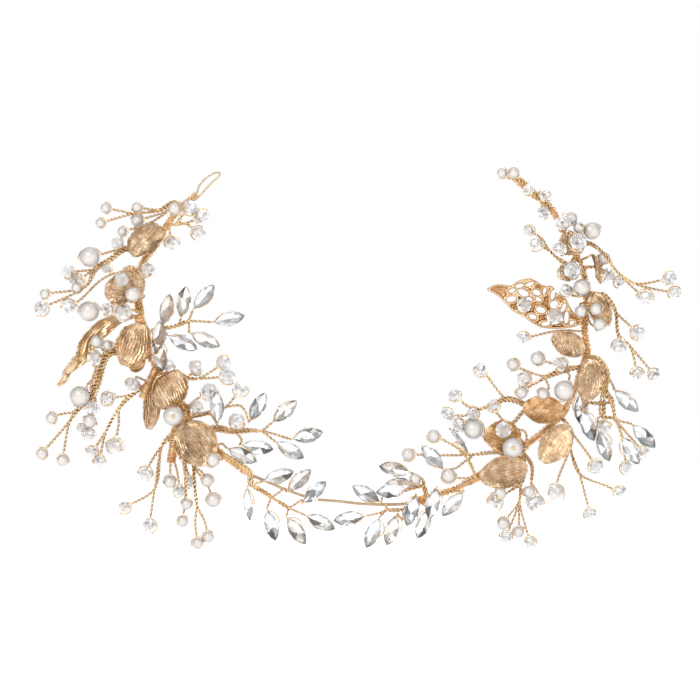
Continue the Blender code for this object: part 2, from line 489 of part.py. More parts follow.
def wire_route(wire):
    """The places of one wire as vectors, with its run into or through its stone."""
    stone = wire[-1] if isinstance(wire[-1], dict) else None
    points = [place(p) for p in wire if not isinstance(p, dict)]
    if stone is None:
        return points
    if stone["kind"] != "spinner":
        return points + [stem_end(stone, points[-1])]
    axis = bore_axis(stone)
    reach = (stone["size"] / 2 + BORE_WIRE_TAIL) * MM
    centre = place(stone["at"])
    return points + [centre - axis * reach, centre + axis * reach]


def finish(name, bm, look, smooth_degrees=None):
    """Turns a bmesh into a named object with its material."""
    bmesh.ops.recalc_face_normals(bm, faces=bm.faces)
    mesh = bpy.data.meshes.new(name)
    bm.to_mesh(mesh)
    bm.free()
    if smooth_degrees:
        mesh.shade_smooth()
        mesh.set_sharp_from_angle(angle=math.radians(smooth_degrees))
    mesh.materials.append(material(*look))
    obj = bpy.data.objects.new(name, mesh)
    bpy.context.scene.collection.objects.link(obj)
    return obj


def fuse(name, makers, look):
    """Unites closed shapes, each made by one function of a bmesh, into one object."""
    joined = bmesh.new()
    for maker in makers[1:]:
        maker(joined)
    operand = finish(name + "_joined", joined, look)
    first = bmesh.new()
    makers[0](first)
    base = finish(name, first, look)
    union = base.modifiers.new("union", "BOOLEAN")
    union.operation = "UNION"
    union.use_self = True
    union.object = operand
    graph = bpy.context.evaluated_depsgraph_get()
    united = bpy.data.meshes.new_from_object(base.evaluated_get(graph))
    base.modifiers.clear()
    base.data = united
    bpy.data.objects.remove(operand)
    return base


def make_band():
    for name, route in (("left", BAND_LEFT), ("centre", BAND_CENTRE), ("right", BAND_RIGHT)):
        bm = bmesh.new()
        add_tube(bm, [place(p) for p in route], BAND_WIRE * MM)
        finish("band_wire_" + name, bm, GOLD, 40)
    for name, route in (("left", BAND_LEFT[BINDING_LEFT]), ("right", BAND_RIGHT[BINDING_RIGHT])):
        bm = bmesh.new()
        add_tube(bm, [place(p) for p in route], BINDING_OUTER * MM, inner=BINDING_INNER * MM)
        finish("binding_" + name, bm, COPPER, 40)


def make_pin_loop():
    bm = bmesh.new()
    add_tube(bm, [place(p) for p in COLLAR], COLLAR_OUTER * MM, sides=8, inner=COLLAR_INNER * MM)
    finish("collar_left", bm, COPPER, 40)
    bm = bmesh.new()
    add_tube(bm, [place(p) for p in PIN_LOOP], PIN_LOOP_WIRE * MM)
    finish("pin_loop_left", bm, GOLD, 40)


def spine_point(spine, u):
    """A point on a smooth curve through the spine's places, u from 0 to 1."""
    points = [place(p) for p in spine]
    if len(points) == 2:
        return points[0].lerp(points[1], u)
    steps = len(points) - 1
    i = min(int(u * steps), steps - 1)
    t = u * steps - i
    b, c = points[i], points[i + 1]
    a = points[i - 1] if i else b * 2 - c
    d = points[i + 2] if i + 2 <= steps else c * 2 - b
    return (b * 2 + (c - a) * t + (a * 2 - b * 5 + c * 4 - d) * t ** 2 + (b * 3 - a - c * 3 + d) * t ** 3) / 2


def leaf_outline(u):
    """Half-width of a leaf as a share of its widest, from root to tip."""
    return math.sin(math.pi * (0.05 + 0.91 * u)) ** 0.6


def leaf_point(spine, width, cup, roll, u, v, height):
    """A point of a leaf: v runs across from -1 to 1, and height is measured along the leaf's normal."""
    step = 0.02
    ahead = (spine_point(spine, min(u + step, 1)) - spine_point(spine, max(u - step, 0))).normalized()
    toward = Vector((0, -1, 0))
    toward = (toward - ahead * toward.dot(ahead)).normalized()
    turn = Matrix.Rotation(math.radians(roll), 3, ahead)
    toward = turn @ toward
    across = ahead.cross(toward)
    half = width / 2 * MM * leaf_outline(u)
    rise = cup * MM * (v * leaf_outline(u)) ** 2
    return spine_point(spine, u) + across * half * v + toward * (rise + height)


def add_leaf(bm, spine, width, cup, roll):
    """A cupped sheet of even thickness."""
    half = LEAF_THICKNESS / 2 * MM
    rows = LEAF_ROWS + 2 * (len(spine) - 2)
    rings = []
    for i in range(rows + 1):
        u = i / rows
        across = [j / LEAF_COLUMNS * 2 - 1 for j in range(LEAF_COLUMNS + 1)]
        ring = [bm.verts.new(leaf_point(spine, width, cup, roll, u, v, half)) for v in across]
        ring += [bm.verts.new(leaf_point(spine, width, cup, roll, u, v, -half)) for v in across[::-1]]
        rings.append(ring)
    add_faces(bm, rings)


def add_lens(bm, centre, along, across, toward, length, width, depth):
    """A lens-shaped prism, used to pierce the filigree leaf."""
    rings = []
    for end in (-depth, depth):
        ring = []
        for k in range(6):
            angle = math.tau * k / 6
            spot = centre + along * math.cos(angle) * length / 2 + across * math.sin(angle) * width / 2
            ring.append(bm.verts.new(spot + toward * end))
        rings.append(ring)
    add_faces(bm, rings)


def make_leaves():
    for name, (spine, width, cup, roll) in LEAVES.items():
        bm = bmesh.new()
        add_leaf(bm, spine, width, cup, roll)
        finish(name, bm, LEAF_GOLD, 50)


def make_filigree_leaf():
    """The openwork leaf, with the two crystals that are set on it."""
    layout = (FILIGREE_SPINE, FILIGREE_WIDTH, FILIGREE_CUP, 0)
    makers = [lambda bm: add_leaf(bm, *layout)]
    for stone in FILIGREE_STONES:
        makers.append(lambda bm, stone=stone: add_stone(bm, stone))
        foot = place(stone["at"]) + Vector((0, 5, 0)) * MM
        route = [place(stone["at"]), foot]
        makers.append(lambda bm, route=route: add_tube(bm, route, STEM_WIRE * MM, STEM_SIDES))
    leaf = fuse("filigree_leaf", makers, LEAF_GOLD)
    bm = bmesh.new()
    length, width = FILIGREE_HOLE
    for u, v in FILIGREE_HOLES:
        centre = leaf_point(*layout, u, v, 0)
        along = (leaf_point(*layout, u + 0.05, v, 0) - leaf_point(*layout, u - 0.05, v, 0)).normalized()
        across = (leaf_point(*layout, u, v + 0.1, 0) - leaf_point(*layout, u, v - 0.1, 0)).normalized()
        across = (across - along * across.dot(along)).normalized()
        add_lens(bm, centre, along, across, along.cross(across), length * MM, width * MM, 2 * MM)
    cutter = finish("filigree_holes", bm, LEAF_GOLD)
    cutter.hide_render = True
    cutter.display_type = "WIRE"
    cut = leaf.modifiers.new("holes", "BOOLEAN")
    cut.operation = "DIFFERENCE"
    cut.object = cutter


def add_stone(bm, stone):
    if stone["kind"] == "marquise":
        add_marquise(bm, stone)
        return
    size = {"radius": stone["size"] / 2 * MM, "matrix": tilted(place(stone["at"]))}
    if stone["kind"] == "pearl":
        bmesh.ops.create_uvsphere(bm, u_segments=PEARL_SEGMENTS, v_segments=PEARL_RINGS, **size)
    else:
        bmesh.ops.create_icosphere(bm, subdivisions=1, **size)


def make_spinner(stone):
    """A bored pearl, turned about its bore's axis, with its origin at its centre."""
    radius = stone["size"] / 2 * MM
    bore = PEARL_BORE / 2 * MM
    mouth = math.asin(bore / radius)
    bm = bmesh.new()
    profile = []
    steps = PEARL_RINGS
    for i in range(steps + 1):
        polar = mouth + (math.pi - 2 * mouth) * i / steps
        profile.append((radius * math.sin(polar), radius * math.cos(polar)))
    rings = []
    for k in range(BORED_SEGMENTS):
        angle = math.tau * k / BORED_SEGMENTS
        rings.append([bm.verts.new((r * math.cos(angle), r * math.sin(angle), h)) for r, h in profile])
    add_faces(bm, rings + rings[:1], closed_ends=False)
    obj = finish(stone["name"], bm, PEARL, 60)
    turn = Vector((0, 0, 1)).rotation_difference(bore_axis(stone))
    obj.matrix_world = Matrix.Translation(place(stone["at"])) @ turn.to_matrix().to_4x4()


def make_sprays():
    for name, wires in SPRAYS.items():
        makers = []
        for wire in wires:
            route = wire_route(wire)
            makers.append(lambda bm, route=route: add_tube(bm, route, STEM_WIRE * MM, STEM_SIDES))
            stone = wire[-1]
            if not isinstance(stone, dict):
                continue
            if stone["kind"] == "spinner":
                make_spinner(stone)
            else:
                makers.append(lambda bm, stone=stone: add_stone(bm, stone))
        fuse(name, makers, GOLD)


def main():
    clear_scene()
    make_band()
    make_pin_loop()
    make_leaves()
    make_filigree_leaf()
    make_sprays()


main()
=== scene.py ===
"""Looks of the bridal hair vine: twisted wire stems, wound binding, ribbed leaves, pearls, cut crystals
and foiled pointed-oval stones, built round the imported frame. Lengths are in millimetres until a mesh is made.
"""

import json
import math

import bpy
import bmesh
import numpy as np
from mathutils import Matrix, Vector


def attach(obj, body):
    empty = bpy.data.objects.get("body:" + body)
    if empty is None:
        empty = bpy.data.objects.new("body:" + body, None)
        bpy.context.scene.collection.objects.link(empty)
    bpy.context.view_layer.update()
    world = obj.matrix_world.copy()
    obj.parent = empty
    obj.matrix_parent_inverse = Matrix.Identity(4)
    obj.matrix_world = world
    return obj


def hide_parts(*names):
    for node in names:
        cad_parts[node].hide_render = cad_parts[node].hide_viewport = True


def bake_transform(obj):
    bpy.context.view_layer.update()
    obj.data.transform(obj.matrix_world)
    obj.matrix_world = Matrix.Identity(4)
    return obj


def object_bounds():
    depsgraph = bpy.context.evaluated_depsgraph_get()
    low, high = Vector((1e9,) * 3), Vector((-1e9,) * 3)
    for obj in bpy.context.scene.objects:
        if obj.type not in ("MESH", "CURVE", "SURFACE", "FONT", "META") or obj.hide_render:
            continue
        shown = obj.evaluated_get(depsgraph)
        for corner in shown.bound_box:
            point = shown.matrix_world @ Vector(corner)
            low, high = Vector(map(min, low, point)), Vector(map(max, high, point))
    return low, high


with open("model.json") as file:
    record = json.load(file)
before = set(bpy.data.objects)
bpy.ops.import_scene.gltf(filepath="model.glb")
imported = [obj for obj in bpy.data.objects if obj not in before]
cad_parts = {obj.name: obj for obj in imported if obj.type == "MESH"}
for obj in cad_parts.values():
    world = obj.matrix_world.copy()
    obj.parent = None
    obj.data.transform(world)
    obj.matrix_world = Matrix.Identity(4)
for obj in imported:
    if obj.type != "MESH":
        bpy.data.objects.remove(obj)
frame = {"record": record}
cad_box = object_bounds()

MM = 0.001

# Sizes shared with the CAD layout.
BAND_WIRE = 1.3
BINDING_OUTER = 3.0
PIN_LOOP_WIRE = 0.8
LEAF_THICKNESS = 0.45
MARQUISE_LENGTH = 12.6
MARQUISE_WIDTH = 6.2

# Wire and stone details. A stem is two strands twisted round a line, and stops short of the stone it holds.
STRAND = 0.5
STEM_OFFSET = 0.34
STEM_PITCH = 3.4
STEM_GAP = 0.9
BORE = 1.0
# A stem that starts this near the band leaves from it, and stems side by side spread by this much for each.
BUNDLE_REACH = 2.7
BUNDLE_SPREAD = 0.12
STALK = 0.55
# Tones of painted shade: in the leaves' grooves, and in the openwork leaf's hollows.
GROOVE_SHADE_TONE = np.array((0.26, 0.17, 0.10))
OPENWORK_SHADE_TONE = np.array((0.55, 0.36, 0.20))

# A place is (x, z, lift) in millimetres: lift is the distance from the band's plane towards the show side.


def pearl(size, x, z, lift):
    return {"kind": "pearl", "size": size, "at": (x, z, lift)}


def crystal(size, x, z, lift):
    return {"kind": "crystal", "size": size, "at": (x, z, lift)}


def marquise(heading, x, z, lift, roll=0):
    """A pointed oval stone whose far tip points along heading, in degrees from +X towards +Z."""
    return {"kind": "marquise", "heading": heading, "at": (x, z, lift), "roll": roll}


def spinner(name, heading, size, x, z, lift):
    """A large pearl that turns on its wire, its bore along heading, or towards the show side if None."""
    return {"kind": "spinner", "name": name, "heading": heading, "size": size, "at": (x, z, lift)}


# The band's centreline, from the left wing's collar to the right wing's tip.
BAND_LEFT = (
    (-59.6, 120.2, 0), (-63, 117.2, 0), (-67.5, 112.5, 0), (-69.5, 109.5, 0), (-72, 104.5, 0),
    (-75, 100, 0), (-78.5, 95.5, 0), (-81, 90, 0), (-81, 84, 0), (-80.3, 77, 0), (-79, 71, 0),
    (-77, 64, 0), (-75.5, 57, 0), (-72, 51, 0), (-66.5, 44, 0), (-63, 37, 0), (-60, 30, 0),
    (-54, 24, 0), (-47.6, 18.7, 0), (-41, 13.6, 0), (-36, 10.3, 0), (-30, 7.7, 0), (-22, 4.3, 0),
    (-14.4, 1.6, 0), (-7.65, 0, 0),
)
BAND_CENTRE = ((-7.05, 0, 0), (0, -0.55, 0), (7.75, -1.45, 0))
BAND_RIGHT = (
    (8.35, -1.5, 0), (16, -1.8, 0), (26, -1.5, 0), (32, -0.3, 0), (40.4, 2.6, 0), (46, 4.5, 0),
    (52, 7.6, 0), (60, 12, 0), (68, 17, 0), (73, 20.8, 0), (79, 25.5, 0), (84, 29.5, 0),
    (89, 34.7, 0), (92, 40, 0), (95, 47, 0), (98, 55.5, 0), (98.7, 60, 0), (97.8, 67.8, 0),
    (98, 75, 0), (98.8, 82, 0), (97.5, 90, 0), (95.5, 95.6, 0), (93, 101, 0), (89, 108, 0),
    (86.3, 113.6, 0), (84, 117, 0), (80, 120.5, 0), (75.5, 124.5, 0), (72, 127.2, 0), (69, 129.5, 0),
)
BINDING_LEFT = slice(2, 21)
BINDING_RIGHT = slice(3, 30)
COLLAR_END = (-58.4, 121.3, 0)
PIN_LOOP = (
    (-57.6, 122.2, 0), (-56.2, 125.8, 0), (-53, 129.2, 0), (-49.4, 131, 0), (-48.1, 130.7, 0),
    (-48.4, 129.6, 0), (-51.2, 127, 0), (-54.6, 123.3, 0), (-56.6, 121.1, 0),
)

# A leaf is its spine from root to tip, its width, how far its edges cup towards the show side, and a roll in
# degrees about its spine.
LEAVES = {
    "leaf_left_1": (((-71.9, 109.2, 3.4), (-83.8, 98.6, 4.5)), 11.5, 2.5, 0),
    "leaf_left_3": (((-82.6, 83.5, 3.4), (-93.8, 84, 4.5)), 12, 2, 0),
    "leaf_left_4": (
        ((-81.6, 73.5, -3.4), (-91, 73, -4), (-98, 69.5, -3.5), (-104, 61, -2),
         (-108.6, 53, 0), (-112.4, 46, 2)),
        7, 1.5, 0,
    ),
    "leaf_left_5": (((-79, 70.5, 3.4), (-85.5, 53.5, 5)), 14, 3, 0),
    "leaf_left_6": (((-78.3, 56.5, 1), (-84, 52.5, -1)), 6, 1, 0),
    "leaf_left_7": (((-72.5, 37.5, 3.4), (-62.8, 51, 5)), 14, 3, 0),
    "leaf_left_8": (((-74, 46.5, 0), (-76.3, 28.3, -1)), 7, 1.5, 0),
    "leaf_left_9": (((-62.5, 30.5, 3.4), (-52.3, 14.8, 5)), 17.5, 3, 0),
    "leaf_right_1": (((97, 100, 3.4), (87.8, 104.6, 4.5)), 8, 1.5, 0),
    "leaf_right_2": (((101, 98, 1.5), (103.8, 86.5, 2.5)), 5, 1, 60),
    "leaf_right_3": (((93.5, 91.5, 3), (86.8, 90.3, 4)), 7, 1.5, 0),
    "leaf_right_4": (((101, 83, 3.4), (106.3, 69.3, 4.5)), 9, 2, 0),
    "leaf_right_5": (((97.5, 59.4, 3.4), (84.6, 65.5, 5)), 9.8, 2, 0),
    "leaf_right_6": (((100.5, 56.5, 3), (98.8, 40, 4.5)), 11.5, 2, 0),
    "leaf_right_7": (((89, 35.6, 3.4), (73, 37, 5)), 11.3, 2, 0),
    "leaf_right_8": (((74.5, 13.5, 3.4), (56, 9, 5)), 13, 2.5, 0),
    "leaf_right_9": (((72, 24.5, 3.4), (58, 26.5, 5)), 13, 2.5, 0),
    "leaf_right_10": (((91.5, 29.5, 2.8), (80.5, 15.5, 5)), 12.5, 2, 0),
}
FILIGREE_SPINE = ((97, 73, 3.4), (78, 78, 6), (59, 84, 8))
FILIGREE_WIDTH = 16
FILIGREE_CUP = 2
FILIGREE_STONES = (crystal(7, 85.6, 73.5, 8.5), crystal(6, 73.2, 77.9, 9))

# A spray is a set of twisted wires. Each runs through its places and ends in a stone, or in the last place.
SPRAYS = {
    "tip_spray_left": (
        ((-62.6, 117.9, 1.6), (-66, 119, 2.5), (-72.3, 116.1, 3.5), pearl(4, -81, 117, 5)),
        ((-72.3, 116.1, 3.5), (-82, 114.5, 3), (-88, 115.6, 4), pearl(4, -93.6, 116.6, 5)),
        ((-82, 114.5, 3), pearl(4, -95.7, 110.7, 3)),
        ((-66, 119, 2.5), (-68.4, 116, 2.5), pearl(5, -81, 111.7, 1)),
        ((-68.4, 116, 2.5), (-76, 110.8, 1), pearl(4, -87, 107.4, 1)),
    ),
    "shoulder_spray_left": (
        ((-68.3, 109.8, 2.1), (-62, 110.5, 3.5), crystal(6, -55, 113.2, 5)),
        ((-62, 110.5, 3.5), crystal(5.5, -56.4, 106.6, 4)),
        ((-65.5, 110.1, 2.8), (-63.5, 113, 4.5), crystal(6, -59.7, 116.8, 6)),
        ((-63.5, 113, 4.5), pearl(5, -66, 116.4, 7)),
        ((-68.3, 109.8, 2.1), (-67.9, 106.5, 3.5), crystal(6, -67.3, 102.4, 5)),
    ),
    "outer_spray_left_upper": (
        ((-75.9, 99, -2.1), (-85.6, 100.7, -1), spinner("pearl_left_upper", 193, 8, -100, 97.2, 2)),
        ((-85.6, 100.7, -1), (-92, 96.5, -0.5), (-98, 92.7, -3), crystal(6, -108.5, 91, 2)),
        ((-98, 92.7, -3), crystal(6, -105.5, 87.3, -3)),
        ((-98, 92.7, -3), (-101.5, 85.5, 1), pearl(4, -105.3, 84.8, 3)),
        ((-101.5, 85.5, 1), pearl(4, -118, 82.4, 2)),
        ((-101.5, 85.5, 1), crystal(6, -119.6, 76.6, -1)),
        ((-85.6, 100.7, -1), crystal(5, -89, 102.6, 2)),
        ((-92, 96.5, -0.5), crystal(4, -93.3, 92.6, 0)),
    ),
    "outer_spray_left_middle": (
        ((-81.5, 88.5, -2.1), (-88, 91, -3.5), (-95, 88.5, -2.5), (-104, 80, 0), crystal(6, -108.4, 77.1, 1)),
        ((-81.5, 88.5, -2.1), (-81, 80, -2.1)),
        ((-81, 80, -2.1), (-92, 78, -1), spinner("pearl_left_middle", 188, 8, -100.2, 75.4, 3)),
    ),
    "cluster_left_middle": (
        ((-79.4, 75, 2.1), (-80.3, 80, 2.1), (-81, 87, 2.1), (-79.8, 92, 2.1), crystal(6, -76.6, 92, 5)),
        ((-80.3, 80, 2.1), (-78.2, 81.6, 6), pearl(6, -82.5, 82.1, 10)),
        ((-81, 87, 2.1), (-83, 91.6, 6), crystal(6, -86.8, 88, 10.5)),
        ((-79.4, 75, 2.1), (-83, 76, 4), crystal(7, -86.5, 74.6, 6)),
        ((-83, 76, 4), (-90, 76.5, 5), crystal(5, -92.8, 76.4, 5)),
    ),
    "marquise_spray_left_upper": (
        ((-77.6, 66, -2.1), (-74, 68.3, -1.5), (-68, 68.7, 0.5), (-61, 71.4, 1.5),
         marquise(50, -54.2, 81.3, 3)),
        ((-70.5, 68.5, -0.3), marquise(78, -69.2, 76.3, 2)),
        ((-64.5, 70, 1), marquise(81, -62.5, 79.4, 3)),
        ((-61, 71.4, 1.5), marquise(11, -44.1, 72.5, 3)),
        ((-61, 71.4, 1.5), marquise(-24, -53.6, 64, 4)),
        ((-70.5, 68.5, -0.3), marquise(-25, -62.6, 62.9, 1)),
        ((-77.6, 66, -2.1), (-77.3, 62, -2.4), (-74.4, 61.7, -1.6), marquise(85, -72.4, 65.6, 2.4)),
        ((-74.4, 61.7, -1.6), marquise(-75, -72.3, 57.4, 3.4)),
    ),
    "outer_spray_left_lower": (
        ((-76.6, 59, -2.1), (-84, 60, -3), (-92.9, 58.5, -1), (-98.4, 49, 0),
         spinner("pearl_left_lower", 237, 8, -104, 41.6, 2)),
        ((-92.9, 58.5, -1), pearl(4, -92.9, 62, 2)),
        ((-92.9, 58.5, -1), pearl(5, -97.3, 63.3, 2)),
        ((-92.9, 58.5, -1), crystal(6, -98.1, 56.7, 3)),
        ((-92.9, 58.5, -1), (-98.8, 43.7, -4), (-104.6, 36, -2.5), (-112, 34.2, -1),
         pearl(4.5, -115.4, 32.7, 1)),
        ((-104.6, 36, -2.5), (-108.2, 31.5, -2), pearl(4.5, -119.3, 18.5, 1)),
        ((-108.2, 31.5, -2), pearl(4.5, -111, 15.8, 0)),
        ((-98.8, 43.7, -4), (-98.2, 38, -3), crystal(6, -99.4, 36.8, 0)),
        ((-98.2, 38, -3), (-98.6, 34, -3), pearl(5.5, -100, 31.5, 1)),
        ((-98.6, 34, -3), crystal(4, -103.5, 28.4, 0)),
        ((-98.6, 34, -3), crystal(5, -100.5, 26, 0)),
    ),
    "drop_spray_left": (
        ((-71.3, 48, -2.1), (-76, 47, -3), (-83, 42.4, -2), (-88, 37.6, -1), (-93.4, 27.9, 0),
         crystal(5, -99.3, 18.9, 0)),
        ((-83, 42.4, -2), crystal(6, -92.8, 40.8, 2)),
        ((-93.4, 27.9, 0), crystal(5, -96.3, 15.2, 1)),
        ((-88, 37.6, -1), (-88.6, 30, 0), crystal(7, -90.2, 21.5, 2)),
        ((-76, 47, -3), (-81.5, 49, -2), crystal(6, -82.8, 45.9, 1)),
    ),
    "inner_spray_left": (
        ((-66.8, 45, -2.1), (-62, 48.2, -1), (-56.8, 48.5, 1), crystal(5.5, -46.2, 54.8, 3)),
        ((-56.8, 48.5, 1), crystal(6, -44.8, 49.4, 0)),
        ((-62, 48.2, -1), (-60, 50, -1), crystal(6, -57.5, 53, 1)),
        ((-66.8, 45, -2.1), (-70.6, 50, -2.4), (-68, 52.5, -1), crystal(5, -68.6, 54, 1)),
        ((-66.8, 45, -2.1), (-63.8, 39.2, -2.3), (-60.6, 37.9, -0.5), crystal(6, -57.5, 37, 2)),
        ((-60.6, 37.9, -0.5), (-57, 40.5, -1.8), crystal(7, -52.3, 43.4, -1)),
        ((-60.6, 37.9, -0.5), (-60.9, 36.2, 2.4), (-64.8, 34.2, 2.4),
         spinner("pearl_left_front", None, 8, -66.4, 33.7, 8)),
    ),
    "inner_marquise_spray_left": (
        ((-61.6, 32.5, -2.1), (-52.4, 34.5, 0), (-46, 37, 1), crystal(6, -39.6, 44.4, 2)),
        ((-46, 37, 1), (-39.6, 37.6, 1.5), marquise(62, -32.7, 37.5, 3)),
        ((-52.4, 34.5, 0), marquise(93, -49.2, 37.4, 4)),
        ((-61.6, 32.5, -2.1), (-57, 26.5, -2.1), (-50.8, 21.6, -2.3), (-47.3, 22.6, -0.6),
         marquise(-25, -38.8, 17.9, 2)),
        ((-57, 26.5, -2.1), (-50, 28.6, -1), (-43, 27.8, 1), (-38.7, 28, 1.2), (-31.7, 27.6, 1.5),
         marquise(42, -21.9, 35.7, 3)),
        ((-43, 27.8, 1), crystal(7, -41.2, 31.6, 4)),
        ((-43, 27.8, 1), (-39.3, 24.2, 2), marquise(-8, -32.7, 21.2, 5)),
        ((-31.7, 27.6, 1.5), marquise(13, -12.7, 26, 3)),
        ((-31.7, 27.6, 1.5), marquise(-30, -19.8, 19.9, 3)),
    ),
    "fan_spray_left": (
        ((-62.8, 33.5, -2.1), (-66, 27, -2), (-67.6, 19, -1), (-67.9, 12, 0.2), pearl(5, -68, 7.2, 1)),
        ((-67.6, 19, -1), (-65.4, 12, -2.4), crystal(4.8, -64.2, 3.4, -3.5)),
        ((-66, 27, -2), (-63.2, 17.5, -1.2), (-61.9, 8, 0.6), pearl(4.5, -61.3, -1.7, 0.6)),
        ((-61.9, 8, 0.6), (-61.9, 3, -1), (-62.3, -1.8, -2.6), pearl(4.5, -62.9, -8.6, -1)),
        ((-63.2, 17.5, -1.2), crystal(4.8, -59.7, 6.9, -4)),
        ((-66, 27, -2), (-60.6, 20, -2.4), (-58.7, 14, -0.6), (-57.9, 4.8, 0.6), (-57.2, -2, 0.6),
         (-57.9, -9, 0.6), pearl(4.5, -56.9, -17.4, 0)),
        ((-57.2, -2, 0.6), (-54.2, -8.4, 0.8), pearl(4.5, -52.6, -14.8, 1)),
        ((-58.7, 14, -0.6), (-56.6, 10.6, 1), pearl(5, -53.1, 7.7, 2)),
        ((-58.7, 14, -0.6), (-55, 10.6, -3), (-52.6, 5, -2.4), pearl(6, -50.7, 0, 0)),
        ((-66, 27, -2), (-71, 22, -2), (-76.1, 14.4, 0), crystal(6, -77.9, 10.3, 1)),
        ((-71, 22, -2), (-74.2, 4.5, -2), crystal(5, -86.2, -3, 0)),
        ((-74.2, 4.5, -2), crystal(5.5, -76.3, -10.5, 0)),
    ),
    "lower_marquise_spray_left": (
        ((-47.7, 18.9, 2.1), (-36, 10.6, 2.1), (-35.4, 6.7, 1), marquise(-85, -36.6, -1.8, 1, 40)),
        ((-35.4, 6.7, 1), (-28, 1.4, 1), marquise(-75, -27.4, -10.2, 2)),
        ((-35.4, 6.7, 1), marquise(18, -24.3, 9.6, 3)),
        ((-28, 1.4, 1), (-22, 4.6, 1.6), marquise(42, -16.2, 8.1, 3)),
        ((-28, 1.4, 1), (-20.9, -2.9, 1), marquise(-55, -17.3, -12.5, 2)),
        ((-20.9, -2.9, 1), marquise(-25, -7.6, -9, 1)),
        ((-20.9, -2.9, 1), (-15, 0.2, 2), marquise(43, -10, 3.4, 3.8)),
        ((-47.7, 18.9, 2.1), (-46.8, 16.5, 6), pearl(5.5, -50.6, 16.2, 9.6)),
    ),
    "lower_marquise_spray_right": (
        ((18.4, -1.5, 1.4), (18.4, -3.8, 2), marquise(188, 3.5, -7.2, 6)),
        ((18.4, -3.8, 2), marquise(-113, 13, -13.3, 3)),
        ((18.4, -3.8, 2), (24.6, -3.9, 1.5), marquise(-107, 28.5, -4.4, 3)),
        ((24.6, -3.9, 1.5), (25, -8, 0), marquise(-108, 20.6, -12.2, 2)),
    ),
    "inner_marquise_spray_right": (
        ((34.8, 0.8, 2.1), (34, 5.2, 2.5), (28.5, 4.4, 3), marquise(186, 20.4, 3.8, 5.5)),
        ((28.5, 4.4, 3), (17.5, 1.6, 1.8), marquise(150, 10.3, 2.6, 3)),
        ((34, 5.2, 2.5), marquise(175, 24.2, 6, 1.5)),
        ((34, 5.2, 2.5), (33, 8.4, 2.5), marquise(168, 21.6, 12.5, 4)),
        ((33, 8.4, 2.5), pearl(4.5, 29.9, 8.6, 4.5)),
        ((34.8, 0.8, 2.1), marquise(-105, 37, -1.4, 5)),
        ((34.8, 0.8, 2.1), (33.4, -2, 1), marquise(-112, 33.3, -9.7, 1)),
        ((34.8, 0.8, 2.1), (41, 3, 2.1), marquise(-132, 44.9, -1.6, 4)),
    ),
    "inner_spray_right_lower": (
        ((54.2, 9, 2.1), (47.5, 8.8, 3), pearl(6, 43.3, 9.9, 4)),
        ((54.2, 9, 2.1), (51.2, 15.9, 3), (47.8, 20.1, 3.2), (43, 23.2, 4), pearl(5, 37.4, 25.8, 5)),
        ((66, 16.2, 2.2), (64.3, 18.4, 2.2), (53.7, 18.2, 1.5), (43.2, 17.9, 1.2), pearl(5, 27.2, 18.3, 1.5)),
        ((53.7, 18.2, 1.5), (51.2, 15.9, 3)),
        ((51.2, 15.9, 3), (46.5, 13, 4), marquise(132, 36.8, 17.2, 4.8)),
        ((47.8, 20.1, 3.2), marquise(127, 47.3, 24, 3, 70)),
    ),
    "inner_spray_right_middle": (
        ((85, 30.8, -2.1), (76, 36.5, -1.5), (71, 39.5, 0), (66.3, 40.5, 1), (58.9, 49.4, 2),
         crystal(5.5, 56.2, 52.1, 3)),
        ((66.3, 40.5, 1), (56.5, 36.5, 2), crystal(5, 53.1, 34.7, 3)),
        ((56.5, 36.5, 2), (51.3, 37.4, 4.5), crystal(5, 45.8, 42, 4)),
        ((56.5, 36.5, 2), (50, 33.8, 0), crystal(5, 42.7, 34.4, 1)),
        ((76, 36.5, -1.5), (68.3, 30.2, -1), (62.5, 35.2, 1), crystal(5, 61.4, 37.8, 2)),
        ((56.5, 36.5, 2), (51.5, 31.5, -1), crystal(5.5, 47.3, 29.8, 1)),
        ((68.3, 30.2, -1), (58.6, 23.4, -1), spinner("pearl_right_side", 142, 8, 53.4, 28.3, 2)),
    ),
    "cluster_right_lower": (
        ((72.8, 18.2, 2.2), (71, 18.4, 5.5), spinner("pearl_right_front", None, 8, 68.7, 21.2, 11.5)),
        ((72.8, 18.2, 2.2), (74.3, 22, 2.4), (73.6, 27.5, 6), crystal(6.5, 65, 28.2, 11)),
    ),
    "inner_spray_right_upper": (
        ((97.3, 53.5, 2.1), (90.8, 52.4, 3), (82.2, 49.6, 4), (72.4, 52.5, 5), pearl(5, 69, 54.3, 5.5)),
        ((82.2, 49.6, 4), (77, 46.3, 5), crystal(6, 73.2, 48.4, 6)),
        ((77, 46.3, 5), pearl(5, 72.4, 43, 5)),
        ((90.8, 52.4, 3), crystal(6, 87.7, 54.4, 5)),
        ((90.8, 52.4, 3), (84, 54.8, 5.5), pearl(5.5, 78.7, 56.6, 6)),
        ((82.2, 49.6, 4), (83.2, 44.8, 7.5), pearl(4.5, 80.8, 42.5, 9.5)),
        ((90.8, 52.4, 3), (91.6, 49.6, 8.5), spinner("pearl_right_middle", 247, 8, 89.2, 43.9, 10)),
    ),
    "tip_spray_right": (
        ((80.4, 120.2, 2.1), (75.3, 124.7, 2.1), (71.8, 127.6, 2), (67.5, 128.6, 2.4),
         pearl(4, 64.7, 130.7, 3)),
        ((71.8, 127.6, 2), pearl(4.5, 69.4, 130.8, 4.4)),
        ((80.4, 120.2, 2.1), (77, 121, 4), crystal(4.5, 75.2, 124, 6)),
        ((80.4, 120.2, 2.1), crystal(5, 81.9, 121.6, 5.2)),
        ((80.4, 120.2, 2.1), (84, 116.6, 2.1), crystal(5, 81, 115, 4.4)),
    ),
    "cluster_right_upper": (
        ((94.2, 98.6, 2.1), (90.8, 104.8, 2.1), (88.3, 109.2, 2.1), (90, 111, 4), crystal(6.5, 89, 110.9, 9)),
        ((88.3, 109.2, 2.1), pearl(5, 92.3, 112.6, 4)),
